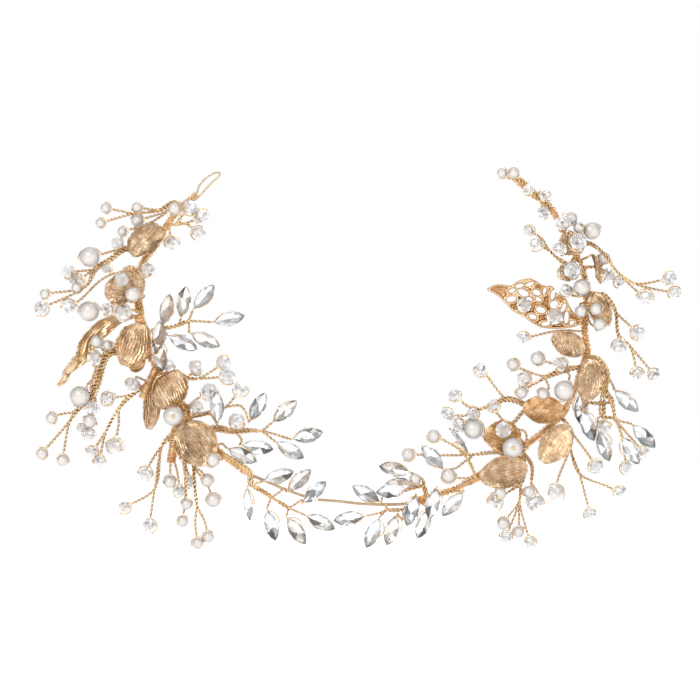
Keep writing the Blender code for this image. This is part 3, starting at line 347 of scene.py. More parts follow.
        ((90.8, 104.8, 2.1), (95, 106.5, 3), pearl(4.5, 95.3, 108.8, 6)),
        ((95, 106.5, 3), spinner("pearl_right_upper", 20, 7, 100.6, 107.6, 3)),
        ((90.8, 104.8, 2.1), (91.5, 107.4, 6), (94.2, 105.4, 10), crystal(7, 94.7, 102.9, 10.5)),
        ((94.2, 98.6, 2.1), (90, 98.2, 5), crystal(6, 87.6, 100.2, 9.5)),
        ((94.2, 98.6, 2.1), (91.5, 94.8, 0), (84, 99.6, 0), crystal(5.5, 78.4, 102.3, 2)),
        ((84, 99.6, 0), (80.5, 104.8, -0.5), crystal(4.5, 75.4, 107.6, 1)),
    ),
    "cluster_right_middle": (
        ((98.3, 77, 2.1), (98.6, 84, 2.1), (97.6, 90, 2.1), (96.4, 91.5, 6), crystal(7, 92.6, 91.9, 9)),
        ((98.6, 84, 2.1), pearl(7, 96.4, 84.8, 6.6)),
        ((98.6, 84, 2.1), (94, 81.5, 1), crystal(5, 90.4, 84, 2.5)),
        ((98.3, 77, 2.1), (97.9, 78.3, 3.2), (95.8, 78.2, 6.6), pearl(5, 96, 75.4, 9)),
        ((97.9, 78.3, 3.2), (98.8, 78.6, 6.6), pearl(5, 101.9, 76.2, 10)),
        ((98.3, 77, 2.1), (99.4, 72, 3.5), (101.2, 69.6, 8), pearl(5, 103.2, 70.2, 10)),
        ((98.3, 77, 2.1), (98, 68.2, 2.1), (91, 67.8, 1.4), (85.3, 67.4, 2), (76.5, 65.4, 3),
         crystal(5, 73.4, 64.7, 4)),
    ),
    "outer_spray_right_upper": (
        ((93.3, 101, -2.1), (99.8, 102.9, -3), (107, 97, 3), (110, 92, 3), (117.7, 86.6, 3),
         crystal(5.5, 131.8, 88.6, 5)),
        ((117.7, 86.6, 3), crystal(5, 133.7, 82.6, 4)),
        ((110, 92, 3), (116.5, 85.4, 2), crystal(6.5, 121.9, 80.8, 2)),
        ((93.3, 101, -2.1), (96.6, 93.2, -2.1), (99.5, 93.5, -3), (104, 93, -3), pearl(5, 105.6, 96.8, -0.5)),
        ((104, 93, -3), crystal(6, 107, 90, -1)),
        ((104, 93, -3), (108.5, 89, -4), crystal(4.5, 111.8, 87.2, -2)),
    ),
    "outer_spray_right_middle": (
        ((99.2, 80.5, -2.1), (104.5, 82.4, -1), (108, 79.5, 0), (110, 75.5, 1), crystal(6, 119, 66.8, 3)),
        ((110, 75.5, 1), (111.2, 66, 1), crystal(6, 111.6, 61.6, 3)),
        ((111.2, 66, 1), (115.9, 61.6, 0), crystal(5, 118.8, 50.4, 1)),
        ((115.9, 61.6, 0), crystal(5, 125.7, 50, 1)),
    ),
    "marquise_spray_right": (
        ((98.5, 57.5, -2.1), (103, 56, -2), (106.5, 50.5, -1), (109.8, 44.5, 0),
         marquise(-42, 114.6, 39.6, 2)),
        ((106.5, 50.5, -1), (105.8, 43.5, -1), (108.3, 39.3, -1), (110.5, 32.5, 0),
         marquise(-45, 121.6, 25.4, 2)),
        ((105.8, 43.5, -1), (105.5, 33.8, -1), crystal(5.5, 105.7, 29.2, 1)),
        ((105.5, 33.8, -1), (110.5, 32.5, 0), (112.5, 26, 0), marquise(-60, 116.2, 19.6, 3.5)),
        ((112.5, 26, 0), crystal(5, 114.6, 12.8, 1)),
        ((110.5, 32.5, 0), crystal(5, 121.6, 19, -1.5)),
        ((105.5, 33.8, -1), (103.5, 33, -1), marquise(-70, 105.6, 21.3, 0)),
        ((108.3, 39.3, -1), (100, 38.8, -2), marquise(-68, 99.2, 29.4, 3)),
        ((100, 38.8, -2), marquise(-85, 96.6, 35.6, -0.5)),
    ),
    "outer_spray_right_lower": (
        ((88.3, 33.5, -2.1), (92.5, 27.3, -2), (99.6, 17.8, -1), crystal(6, 102.3, 13.4, 1)),
        ((92.5, 27.3, -2), (92, 21, -1.5), (87.1, 8, 0), crystal(7, 86.3, 3, 1)),
        ((92, 21, -1.5), (95.7, 10.6, 0), crystal(5, 100, -5.9, 1)),
        ((95.7, 10.6, 0), (107, 5.4, 0), crystal(5, 111.9, 3, 1)),
    ),
    "fan_spray_right": (
        ((73.2, 19.5, -2.1), (72.5, 8, -1.5), (71.8, 0, -1), pearl(5, 65.2, -9.3, 2)),
        ((71.8, 0, -1), crystal(5, 66.3, -15, 0)),
        ((71.8, 0, -1), pearl(4.5, 71.5, -12.8, 0)),
        ((71.8, 0, -1), crystal(5, 76.1, -17.2, 0)),
        ((72.5, 8, -1.5), (66.5, 2.6, 0), crystal(7, 61.6, -0.8, 1)),
        ((66.5, 2.6, 0), (65.5, 1.4, 4), pearl(5, 63.7, 3, 9.4)),
        ((73.2, 19.5, -2.1), (77, 14, -1), (76.6, 7, 1), pearl(5, 75.5, 3.4, 4)),
        ((76.6, 7, 1), (79, 3, -1), crystal(7, 78, -1.4, 0)),
    ),
}


# ---- Paths and shapes, as numpy arrays ----


def spot(place):
    """A layout place (x, z, lift) in the frame's axes."""
    x, z, lift = place
    return np.array((x, -lift, z), float)


def unit(vector):
    return vector / max(np.linalg.norm(vector), 1e-9)


def heading_axis(heading):
    angle = math.radians(heading)
    return np.array((math.cos(angle), 0.0, math.sin(angle)))


def noise_at(point, salt=0):
    """A repeatable number from 0 to 1 for a place."""
    value = math.sin(point[0] * 12.9898 + point[1] * 78.233 + point[2] * 37.719 + salt * 4.1414) * 43758.5453
    return value - math.floor(value)


def smooth_path(points, step):
    """A curve through the points, sampled about every step."""
    points = [np.asarray(p, float) for p in points]
    if len(points) == 2:
        samples = np.array([points[0] + (points[1] - points[0]) * t for t in np.linspace(0, 1, 9)])
    else:
        ends = [points[0] * 2 - points[1]] + points + [points[-1] * 2 - points[-2]]
        samples = []
        for i in range(1, len(ends) - 2):
            a, b, c, d = ends[i - 1:i + 3]
            knots = [0.0]
            for p, q in ((a, b), (b, c), (c, d)):
                knots.append(knots[-1] + max(np.linalg.norm(q - p), 1e-6) ** 0.5)
            for t in np.linspace(knots[1], knots[2], 13)[:-1]:
                samples.append(centripetal(a, b, c, d, knots, t))
        samples.append(points[-1])
        samples = np.array(samples)
    lengths = run_length(samples)
    count = max(int(round(lengths[-1] / step)), 2)
    wanted = np.linspace(0, lengths[-1], count + 1)
    return np.stack([np.interp(wanted, lengths, samples[:, k]) for k in range(3)], axis=1)


def centripetal(a, b, c, d, knots, t):
    """A point of the centripetal Catmull-Rom curve from b to c."""
    t0, t1, t2, t3 = knots
    ab = a * ((t1 - t) / (t1 - t0)) + b * ((t - t0) / (t1 - t0))
    bc = b * ((t2 - t) / (t2 - t1)) + c * ((t - t1) / (t2 - t1))
    cd = c * ((t3 - t) / (t3 - t2)) + d * ((t - t2) / (t3 - t2))
    abc = ab * ((t2 - t) / (t2 - t0)) + bc * ((t - t0) / (t2 - t0))
    bcd = bc * ((t3 - t) / (t3 - t1)) + cd * ((t - t1) / (t3 - t1))
    return abc * ((t2 - t) / (t2 - t1)) + bcd * ((t - t1) / (t2 - t1))


def frames_along(path):
    """Tangents, sides and ups along a path, carried without twist."""
    tangents = np.gradient(path, axis=0)
    tangents /= np.maximum(np.linalg.norm(tangents, axis=1, keepdims=True), 1e-9)
    start = tangents[0]
    side = unit(np.cross(start, (0, 0, 1) if abs(start[2]) < 0.8 else (1, 0, 0)))
    sides = []
    for tangent in tangents:
        side = unit(side - tangent * side.dot(tangent))
        sides.append(side)
    sides = np.array(sides)
    return tangents, sides, np.cross(tangents, sides)


def run_length(path):
    return np.concatenate([[0], np.cumsum(np.linalg.norm(np.diff(path, axis=0), axis=1))])


class Shape:
    """Points and faces gathered from many parts, for one piece."""

    def __init__(self):
        self.points, self.faces, self.slots, self.tints, self.grain = [], [], [], [], []
        self.count = 0

    def add(self, points, faces, slot=0, tint=(1, 1, 1), grain=None):
        points = np.asarray(points, float)
        self.points.append(points)
        self.faces += [tuple(int(i) + self.count for i in face) for face in faces]
        self.slots += [slot] * len(faces)
        colours = np.ones((len(points), 4))
        colours[:, :3] = tint
        self.tints.append(colours)
        self.grain.append(np.zeros((len(points), 2)) if grain is None else grain)
        self.count += len(points)

    def make(self, name, looks, smooth=True):
        mesh = bpy.data.meshes.new(name)
        points = np.concatenate(self.points) * MM
        mesh.from_pydata(points.tolist(), [], self.faces)
        for look in looks:
            mesh.materials.append(look)
        mesh.polygons.foreach_set("material_index", self.slots)
        mesh.polygons.foreach_set("use_smooth", [smooth] * len(self.faces))
        tint = mesh.color_attributes.new("tint", "FLOAT_COLOR", "POINT")
        tint.data.foreach_set("color", np.concatenate(self.tints).ravel())
        corners = np.empty(len(mesh.loops), int)
        mesh.loops.foreach_get("vertex_index", corners)
        grain = mesh.uv_layers.new(name="grain")
        grain.data.foreach_set("uv", np.concatenate(self.grain)[corners].ravel())
        mesh.validate()
        mesh.update()
        piece = bpy.data.objects.new(name, mesh)
        bpy.context.scene.collection.objects.link(piece)
        return piece


def add_tube(shape, path, radius, sides=6, **look):
    """A solid wire along a path; the radius may change along it."""
    _, side, up = frames_along(path)
    angles = np.arange(sides) * math.tau / sides
    radii = np.broadcast_to(radius, len(path))[:, None, None]
    ring = side[:, None] * np.cos(angles)[None, :, None] + up[:, None] * np.sin(angles)[None, :, None]
    points = (path[:, None] + ring * radii).reshape(-1, 3)
    rows = np.arange(len(path) - 1)[:, None] * sides
    low = np.arange(sides)[None]
    high = (low + 1) % sides
    faces = np.stack([rows + low, rows + high, rows + sides + high, rows + sides + low], -1).reshape(-1, 4)
    last = (len(path) - 1) * sides
    ends = [tuple(range(sides))[::-1], tuple(range(last, last + sides))]
    run = run_length(path)
    grain = np.stack([np.repeat(run, sides), np.tile(angles / math.tau, len(path))], 1)
    shape.add(points, faces.tolist() + ends, grain=grain, **look)


def helix(path, radius, pitch, phase=0.0):
    """A path wound round another; radius and pitch may change along it."""
    _, side, up = frames_along(path)
    run = run_length(path)
    pitches = np.broadcast_to(pitch, len(path))
    turns = np.cumsum(np.diff(run) / ((pitches[1:] + pitches[:-1]) / 2))
    turn = np.concatenate([[0], turns]) * math.tau + phase
    radii = np.broadcast_to(radius, len(path))[:, None]
    return path + (side * np.cos(turn)[:, None] + up * np.sin(turn)[:, None]) * radii


# ---- Pearls, crystals and pointed-oval stones ----


def turned(side, up, angle):
    """Two axes turned together by an angle."""
    return side * np.cos(angle) + up * np.sin(angle), up * np.cos(angle) - side * np.sin(angle)


def stone_axes(axis, tilt=0.0):
    """Three axes, the first along axis."""
    axis = unit(np.asarray(axis, float))
    side = unit(np.cross(axis, (0, 1, 0) if abs(axis[1]) < 0.9 else (1, 0, 0)))
    return axis, *turned(side, np.cross(axis, side), tilt)


def lathe_faces(segments, count, staggered):
    """The faces round a lathe; where every other row is staggered they are triangles."""
    faces = []
    for k in range(segments):
        here, there = k * count, (k + 1) % segments * count
        for i in range(count):
            j = (i + 1) % count
            if staggered and i % 2:
                faces += [(here + i, here + j, there + j), (here + i, there + j, there + i)]
            elif staggered:
                faces += [(here + i, here + j, there + i), (here + j, there + j, there + i)]
            else:
                faces.append((here + i, here + j, there + j, there + i))
    return faces


def add_lathe(shape, centre, axes, profile, segments, stagger=0.0, facets=None, **look):
    """A solid of revolution from a closed list of (radius, height); facets gives each face its own tint."""
    axis, side, up = axes
    points = []
    for k in range(segments):
        for i, (radius, height) in enumerate(profile):
            angle = math.tau * (k + (stagger if i % 2 else 0.0)) / segments
            points.append(centre + axis * height + (side * math.cos(angle) + up * math.sin(angle)) * radius)
    faces = lathe_faces(segments, len(profile), stagger > 0)
    if facets is None:
        shape.add(points, faces, **look)
        return
    corners = [points[i] for face in faces for i in face]
    tints = [facets(np.mean([points[i] for i in face], axis=0)) for face in faces for _ in face]
    starts = np.cumsum([0] + [len(face) for face in faces])
    cut = [tuple(range(a, b)) for a, b in zip(starts, starts[1:])]
    shape.add(np.array(corners), cut, **(look | {"tint": np.array(tints) * look.get("tint", 1.0)}))


def add_pearl(shape, centre, size, axis, **look):
    """A bored pearl."""
    radius = size / 2
    mouth = math.asin(BORE / 2 / radius)
    polar = np.linspace(mouth, math.pi - mouth, 19)
    profile = [(radius * math.sin(p), radius * math.cos(p)) for p in polar]
    profile += [(BORE / 2 * 0.96, profile[-1][1] * 0.97), (BORE / 2 * 0.96, profile[0][1] * 0.97)]
    add_lathe(shape, centre, stone_axes(axis), profile[::-1], 28, **look)


def painted_facet_reflection(middle):
    """Painted reflections: a few facets of a crystal are painted dark, the others nearly white."""
    pick = noise_at(middle, 9)
    return (0.42,) * 3 if pick > 0.9 else (0.78 + 0.24 * pick,) * 3


def add_crystal(shape, centre, size, axis, **look):
    """A bored round bead cut with rows of staggered facets."""
    radius = size / 2 * 1.03
    polar = np.radians((20, 50, 78, 102, 130, 160))
    profile = [(radius * math.sin(p), radius * math.cos(p)) for p in polar]
    profile += [(BORE / 2, profile[-1][1]), (BORE / 2 * 0.9, 0), (BORE / 2, profile[0][1])]
    axes = stone_axes(axis, noise_at(centre, 3) * math.tau)
    add_lathe(shape, centre, axes, profile[::-1], 8, stagger=0.5, facets=painted_facet_reflection, **look)


def marquise_cut():
    """The points and faces of a pointed-oval stone along +X, with its show side towards +Z."""
    half, side = MARQUISE_LENGTH / 2, MARQUISE_WIDTH / 2
    bow = (half ** 2 + side ** 2) / (2 * side)
    stations = (4.5, 1.6, -1.6, -4.5)
    widths = [math.sqrt(bow ** 2 - x ** 2) - bow + side for x in stations]
    girdle = [(half, 0), *zip(stations, widths), (-half, 0), *((-x, -y) for x, y in zip(stations, widths))]
    under = [(6.2, 0), (2.6, 2.5), (-2.6, 2.5), (-6.2, 0), (-2.6, -2.5), (2.6, -2.5)]
    table = [(3.3, 0), (1.5, 1.25), (-1.5, 1.25), (-3.3, 0), (-1.5, -1.25), (1.5, -1.25)]
    bm = bmesh.new()
    for outline, height in ((girdle, 0.2), (under, -0.35), (table, 1.35), ([(0.9, 0.2)], -1.7)):
        for x, y in outline:
            bm.verts.new((x, y, height))
    bmesh.ops.convex_hull(bm, input=bm.verts)
    bmesh.ops.dissolve_limit(bm, angle_limit=0.02, verts=bm.verts, edges=bm.edges)
    bmesh.ops.recalc_face_normals(bm, faces=bm.faces)
    bm.verts.index_update()
    points = np.array([v.co[:] for v in bm.verts])
    crown = [[v.index for v in f.verts] for f in bm.faces if f.normal.z > -0.2]
    back = [[v.index for v in f.verts] for f in bm.faces if f.normal.z <= -0.2]
    bm.free()
    return points, crown, back


CUT_POINTS, CUT_CROWN, CUT_BACK = marquise_cut()


def marquise_axes(stone):
    """The stone's length, width and show-side axes, with the slight tilt of a hand-wired stone."""
    centre = spot(stone["at"])
    along = heading_axis(stone["heading"])
    along = unit(along + np.array((0, 1, 0)) * (noise_at(centre, 1) - 0.5) * 0.25)
    toward = np.array((0.0, -1.0, 0.0))
    toward = unit(toward - along * toward.dot(along))
    roll = math.radians(stone["roll"] + (noise_at(centre, 2) - 0.5) * 36)
    return along, *turned(np.cross(toward, along), toward, roll)


def add_marquise(shape, stone):
    """A clear crown over a foiled back whose facets differ, with painted reflections: one facet painted dark,
    the others nearly full.
    """
    along, across, toward = marquise_axes(stone)
    centre = spot(stone["at"])
    points = centre + CUT_POINTS[:, :1] * along + CUT_POINTS[:, 1:2] * across + CUT_POINTS[:, 2:] * toward
    warm, plain, cool = (1.0, 0.975, 0.95), (1.0, 1.0, 1.0), (0.97, 0.985, 1.0)
    pick = noise_at(centre, 5)
    cast = np.array(warm if pick > 0.72 else plain if pick > 0.2 else cool)
    shape.add(points, CUT_CROWN, slot=0, tint=cast)
    dark = int(noise_at(centre, 6) * len(CUT_BACK))
    for number, face in enumerate(CUT_BACK):
        # Painted reflection: one back facet is painted dark, the others near full tone.
        tone = 0.3 if number == dark else 0.9 + 0.1 * noise_at(centre, 30 + number)
        shape.add(points[face], [range(len(face))], slot=1, tint=cast * tone)


def add_marquise_loop(shape, stone, start):
    """The single wire from the twist that rounds one edge of the stone and passes behind it."""
    along, across, toward = marquise_axes(stone)
    centre = spot(stone["at"])
    hanging = -125 < stone["heading"] < -45
    bulge = 0.5 + 0.7 * noise_at(centre, 7) if hanging else -0.7
    hand = 1 if noise_at(centre, 8) > 0.5 else -1
    tip = centre - along * (MARQUISE_LENGTH / 2 + 0.3)
    local = (
        (-5.0, 1.5 + bulge, -0.2), (-2.8, 2.7 + bulge, -0.4), (-0.9, 3.1 + bulge * 0.5, -0.6),
        (-0.1, 2.7, -1.1), (0, 1.5, -1.9), (0, 0, -2.2), (0, -1.5, -1.9), (-0.3, -2.4, -1.2),
        (-2.8, -2.0, -1.3), (-5.0, -0.8, -0.9),
    )
    path = [start, tip]
    path += [centre + along * x + across * y * hand + toward * h for x, y, h in local]
    path += [tip + toward * -0.2]
    add_tube(shape, smooth_path(path, 0.3), STRAND / 2, sides=5)


def bead_axis(stone, base):
    """The direction of a bead's bore, given the direction from its centre to its stem."""
    centre = spot(stone["at"])
    turn = math.radians((28, 55, 80, 100)[int(noise_at(centre, 11) * 4)])
    turn *= 1 if noise_at(centre, 12) > 0.5 else -1
    level = unit(np.cross(base, (0, 1, 0)) + np.array((0, 1, 0)) * (noise_at(centre, 13) - 0.5) * 0.8)
    return unit(base * math.cos(turn) + level * math.sin(turn))


def arc(centre, radius, start, end, share=0.9):
    """Points round a bead from one direction towards another."""
    angle = math.acos(max(-1.0, min(1.0, float(start.dot(end)))))
    found = []
    for t in np.linspace(0, share, 7):
        direction = start * math.sin((1 - t) * angle) + end * math.sin(t * angle)
        found.append(centre + unit(direction) * radius)
    return found


def add_bead_loop(shape, centre, size, axis, base, start, gap=0.12):
    """The single wire that leaves the twist, hugs the bead, runs through its bore and comes back."""
    radius = size / 2 + STRAND / 2 + gap
    near = axis if axis.dot(base) >= 0 else -axis
    path = [start] + arc(centre, radius, near, base, 0.75)[::-1]
    path += [centre + near * size * 0.42, centre - near * size * 0.42]
    path += arc(centre, radius, -near, unit(base + near * 0.02), 0.93)
    path += [start + base * 0.25]
    add_tube(shape, smooth_path(path, 0.25), STRAND / 2, sides=5)


# ---- Sprays ----


BAND_PLACES = [spot(p) for p in BAND_LEFT + BAND_CENTRE + BAND_RIGHT]


def on_band(point):
    """The nearest point of the band's centreline, and how far it is."""
    best = None
    for a, b in zip(BAND_PLACES, BAND_PLACES[1:]):
        t = max(0.0, min(1.0, (point - a).dot(b - a) / max((b - a).dot(b - a), 1e-9)))
        near = a + (b - a) * t
        away = np.linalg.norm(point - near)
        if best is None or away < best[1]:
            best = (near, away)
    return best


def cut_short(path, centre, reach):
    """The part of a path outside a ball."""
    keep = np.linalg.norm(path - centre, axis=1) > reach
    last = int(np.argmin(keep)) if not keep.all() else len(path)
    return path[:max(last, 3)]


def add_stem(shape, places, phase, ball=None):
    """Two strands twisted together, with painted shade where they face each other, and cut short at a ball if
    given.
    """
    path = smooth_path(places, 0.2)
    if ball:
        path = cut_short(path, *ball)
    angles = np.arange(6) * math.tau / 6
    for strand in (0, math.pi):
        wound = helix(path, STEM_OFFSET, STEM_PITCH, phase + strand)
        _, side, up = frames_along(wound)
        inward = (path - wound) / STEM_OFFSET
        facing = (side * inward).sum(1)[:, None] * np.cos(angles)
        facing += (up * inward).sum(1)[:, None] * np.sin(angles)
        # Painted shade in the crease between the strands, browner there.
        shade = 1 - 0.8 * np.clip(facing.ravel() + 0.3, 0, 1)
        add_tube(shape, wound, STRAND / 2, sides=6, tint=shade[:, None] ** np.array((0.8, 1.1, 1.5)))
    return path


def bead_tint(stone):
    """White, a little warm or a little cool."""
    pick = int(noise_at(stone["at"], 21) * 3)
    if stone["kind"] == "crystal":
        return ((1.0, 1.0, 1.0), (1.0, 0.98, 0.97), (0.975, 0.985, 1.0))[pick]
    return ((1.0, 1.0, 1.0), (1.0, 0.985, 0.96), (0.985, 0.985, 1.0))[pick]


def make_spinner(stone, axis, body):
    shape = Shape()
    add_pearl(shape, spot(stone["at"]), stone["size"], axis)
    pearl_piece = shape.make(stone["name"] + "_bead", [LOOKS["pearl"]])
    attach(pearl_piece, body)
    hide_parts(stone["name"])


def trunk_route(wires, start, number):
    """The places that lead from the band to a branch's first place, set beside the wires already there."""
    route = []
    for _ in range(5):
        parent = next((w for w in wires if start in w[1:]), None)
        if parent is None or on_band(spot(start))[1] < BUNDLE_REACH:
            break
        route = list(parent[:parent.index(start)]) + route
        start = parent[0]
    angle = number * 2.4
    aside = np.array((math.cos(angle), -0.35, math.sin(angle))) * BUNDLE_SPREAD * len(wires)
    return [spot(p) + aside * (1 if i else 0.3) for i, p in enumerate(route)]


def wire_places(wires, number):
    """The places of one of a spray's wires, all the way from the band."""
    wire = wires[number]
    places = trunk_route(wires, wire[0], number) + [spot(p) for p in wire if not isinstance(p, dict)]
    root, away = on_band(places[0])
    if away < BUNDLE_REACH:
        places.insert(0, root + (places[0] - root) * 0.35)
    return places


def end_in_marquise(shapes, stone, places, phase):
    """A stem that ends in a loop round a pointed-oval stone."""
    along = marquise_axes(stone)[0]
    tip = spot(stone["at"]) - along * (MARQUISE_LENGTH / 2 + STEM_GAP)
    if len(places) > 1 and np.linalg.norm(places[-1] - tip) < 1.2:
        places = places[:-1]
    add_stem(shapes["stems"], places + [tip], phase)
    add_marquise_loop(shapes["stems"], stone, tip)
    add_marquise(shapes["marquises"], stone)


def add_knob(shape, start, centre, axis, size):
    """A pin through a pearl, and the knob that keeps the pearl on it."""
    tip = centre + axis * (size / 2 + 0.5)
    add_tube(shape, smooth_path([start, centre, tip], 0.5), STRAND / 2, sides=6)
    knob = np.array([tip - axis * 0.25, tip, tip + axis * 0.3, tip + axis * 0.5])
    add_tube(shape, knob, (0.3, 0.62, 0.55, 0.2), sides=10)


def end_in_spinner(shapes, stone, places, phase):
    """A stem that ends in a pearl that turns, on a pin seen end-on or on a loop."""
    centre, size, heading = spot(stone["at"]), stone["size"], stone["heading"]
    axis = np.array((0.0, -1.0, 0.0)) if heading is None else heading_axis(heading)
    places.append(centre - axis * (size / 2 + STEM_GAP + 0.1))
    add_stem(shapes["stems"], places, phase)
    if heading is None:
        add_knob(shapes["stems"], places[-1], centre, axis, size)
    else:
        lean = unit(-axis + np.array((0.1, 0.05, 0.1)))
        add_bead_loop(shapes["stems"], centre, size, -axis, lean, places[-1], gap=0.3)
    make_spinner(stone, axis, stone["name"])


def end_in_bead(shapes, stone, places, phase):
    """A stem that ends in a loop round a pearl or a crystal."""
    centre, size = spot(stone["at"]), stone["size"]
    path = add_stem(shapes["stems"], places + [centre], phase, (centre, size / 2 + STEM_GAP))
    base = unit(path[-1] - centre)
    axis = bead_axis(stone, base)
    add_bead_loop(shapes["stems"], centre, size, axis, base, path[-1])
    if stone["kind"] == "pearl":
        add_pearl(shapes["pearls"], centre, size, axis, tint=bead_tint(stone))
    else:
        add_crystal(shapes["crystals"], centre, size, axis, tint=bead_tint(stone))


ENDINGS = {
    "marquise": end_in_marquise, "spinner": end_in_spinner, "pearl": end_in_bead, "crystal": end_in_bead,
}
SPRAY_PIECES = {
    "stems": (("gold",), "champagne_gold", True),
    "pearls": (("pearl",), "pearl", True),
    "crystals": (("crystal",), "crystal", False),
    "marquises": (("crown", "foil"), "foiled_stone", False),
}


def make_spray(name, wires, body):
    """The twisted stems of a spray, and its stones by kind."""
    shapes = {kind: Shape() for kind in SPRAY_PIECES}
    for number, wire in enumerate(wires):
        places = wire_places(wires, number)
        phase = number * 1.7
        if isinstance(wire[-1], dict):
            ENDINGS[wire[-1]["kind"]](shapes, wire[-1], places, phase)
        else:
            add_stem(shapes["stems"], places, phase)
    for kind, (looks, slot, smooth) in SPRAY_PIECES.items():
        if not shapes[kind].count:
            continue
        piece = shapes[kind].make(f"{name}_{kind}", [LOOKS[look] for look in looks], smooth)
        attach(piece, body)
        if kind == "stems":
            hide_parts(name)


# ---- Leaves ----


def spine_path(spine, count):
    """Points evenly along a leaf's spine."""
    path = smooth_path([spot(p) for p in spine], 0.2)
    return np.stack([np.interp(np.linspace(0, len(path) - 1, count), np.arange(len(path)), path[:, k])
                     for k in range(3)], axis=1)


def leaf_axes(path, turn):
    """The leaf's width and show-side axes all along its spine."""
    along = np.gradient(path, axis=0)
    along /= np.linalg.norm(along, axis=1, keepdims=True)
    toward = np.array((0.0, -1.0, 0.0)) - along * (along @ (0.0, -1.0, 0.0))[:, None]
    toward /= np.linalg.norm(toward, axis=1, keepdims=True)
    return turned(np.cross(along, toward), toward, turn)


def leaf_half(uu, vv, width, outline, look):
    """The leaf's half-width, with its ragged and toothed edges."""
    seed = look["seed"]
    ragged = np.where(vv > 0, np.sin(uu * 17 + seed) + 0.6 * np.sin(uu * 41 + seed * 3),
                      np.sin(uu * 14 + seed * 2) + 0.5 * np.sin(uu * 35 + seed))
    saw = (uu * look["tooth_count"] + seed) % 1.0
    one_side = np.where(vv * look["tooth_side"] >= 0, 1.0, 0.2)
    change = (look["ragged"] * ragged + look["teeth"] * (saw - 0.5) * one_side) * np.abs(vv) ** 6
    return width / 2 * outline * (1 + change)


def leaf_ridges(uu, vv, half, run, look):
    """Where the ridges' crests are, from 0 to 1, and how strong each ridge is."""
    seed = look["seed"]
    if look["lean"]:
        lean = math.radians(look["lean"])
        phase = (half * vv * math.cos(lean) + run * math.sin(lean)) / look["spacing"]
    else:
        phase = vv * look["ridges"] / 2 + look["slant"] * uu * (1 + np.abs(vv)) / 2
    phase = phase + 0.22 * np.sin(uu * 9 + vv * 3 + seed) + 0.12 * np.sin(uu * 23 - vv * 5 + seed)
    line = np.floor(phase)
    strength = 0.62 + 0.38 * np.sin(line * 2.4 + seed) * np.cos(line * 1.3 + uu * 5)
    return np.abs(np.sin(phase * math.pi)) ** 0.75, strength


def leaf_swell(uu, vv, outline, cup, look):
    """How far the leaf rises without its ridges: cup, waves, midrib, curled tip and rolled rim."""
    seed, side = look["seed"], np.abs(vv)
    ripple = np.sin(uu * 7.5 + seed) * vv * side + 0.4 * np.sin(uu * 15 + seed) * side ** 6 * np.sign(vv)
    wave = look["wave"] * outline * ripple
    rib = look["rib"] * np.exp(-(vv / 0.07) ** 2) * (1 - uu * 0.6)
    curl = look["curl"] * np.clip(uu - 0.72, 0, 1) ** 2 * 12
    bead = look["bead"] * outline * np.exp(-((1 - side) / 0.09) ** 2)
    return cup * (side * outline) ** 2 + wave + rib + curl + bead, bead


def leaf_sheet(spine, width, cup, roll, look):
    """A leaf's mid-surface as a grid of points, with its ridges and edges, and painted shade in its grooves."""
    path = spine_path(spine, look["rows"])
    u, v = np.linspace(0, 1, look["rows"]), np.linspace(-1, 1, look["columns"])
    across, toward = leaf_axes(path, np.radians(roll + look["twist"] * u)[:, None])
    outline = (np.sin(math.pi * (0.04 + 0.92 * u)) ** look["belly"])[:, None]
    uu, vv = np.meshgrid(u, v, indexing="ij")
    half = leaf_half(uu, vv, width, outline, look)
    crest, strength = leaf_ridges(uu, vv, half, run_length(path)[:, None], look)
    swell, bead = leaf_swell(uu, vv, outline, cup, look)
    fade = np.clip(np.minimum(uu * 9, (1 - uu) * 9), 0.25, 1)
    rise = swell + crest * strength * look["ridge_height"] * fade
    # Painted shade: the colour darkens towards the floor of each groove, less so on the rolled rim.
    groove = 1 - np.clip(crest * 1.5, 0, 1) * (0.55 + 0.45 * strength)
    unshaded = np.clip(1 - look["groove_shade"] * groove + 0.25 * bead, 0, 1)[..., None]
    # The look's shade darkens the whole leaf as painted shade.
    tint = look["shade"] * (unshaded + (1 - unshaded) * GROOVE_SHADE_TONE)
    grid = path[:, None] + across[:, None] * (half * vv)[..., None] + toward[:, None] * rise[..., None]
    return grid, uu, vv, tint


def add_sheet(shape, grid, thickness, uu, vv, width, length, tint):
    """A closed shell of even thickness round a grid of points."""
    rows, columns = grid.shape[:2]
    normal = np.cross(np.gradient(grid, axis=0), np.gradient(grid, axis=1))
    normal /= np.maximum(np.linalg.norm(normal, axis=2, keepdims=True), 1e-9)
    layers = [(grid + normal * side * thickness / 2).reshape(-1, 3) for side in (1, -1)]
    points = np.concatenate(layers)
    index = np.arange(rows * columns).reshape(rows, columns)
    quads = np.stack([index[:-1, :-1], index[1:, :-1], index[1:, 1:], index[:-1, 1:]], -1).reshape(-1, 4)
    faces = quads.tolist() + (quads[:, ::-1] + rows * columns).tolist()
    rim = np.concatenate([index[0], index[1:, -1], index[-1, :-1][::-1], index[1:-1, 0][::-1]])
    for a, b in zip(rim, np.roll(rim, -1)):
        faces.append((int(a), int(b), int(b) + rows * columns, int(a) + rows * columns))
    grain = np.stack([uu.ravel() * length, vv.ravel() * width / 2], 1)
    tint = tint.reshape(-1, 3)
    shape.add(points, faces, grain=np.concatenate([grain, grain]), tint=np.concatenate([tint, tint]))


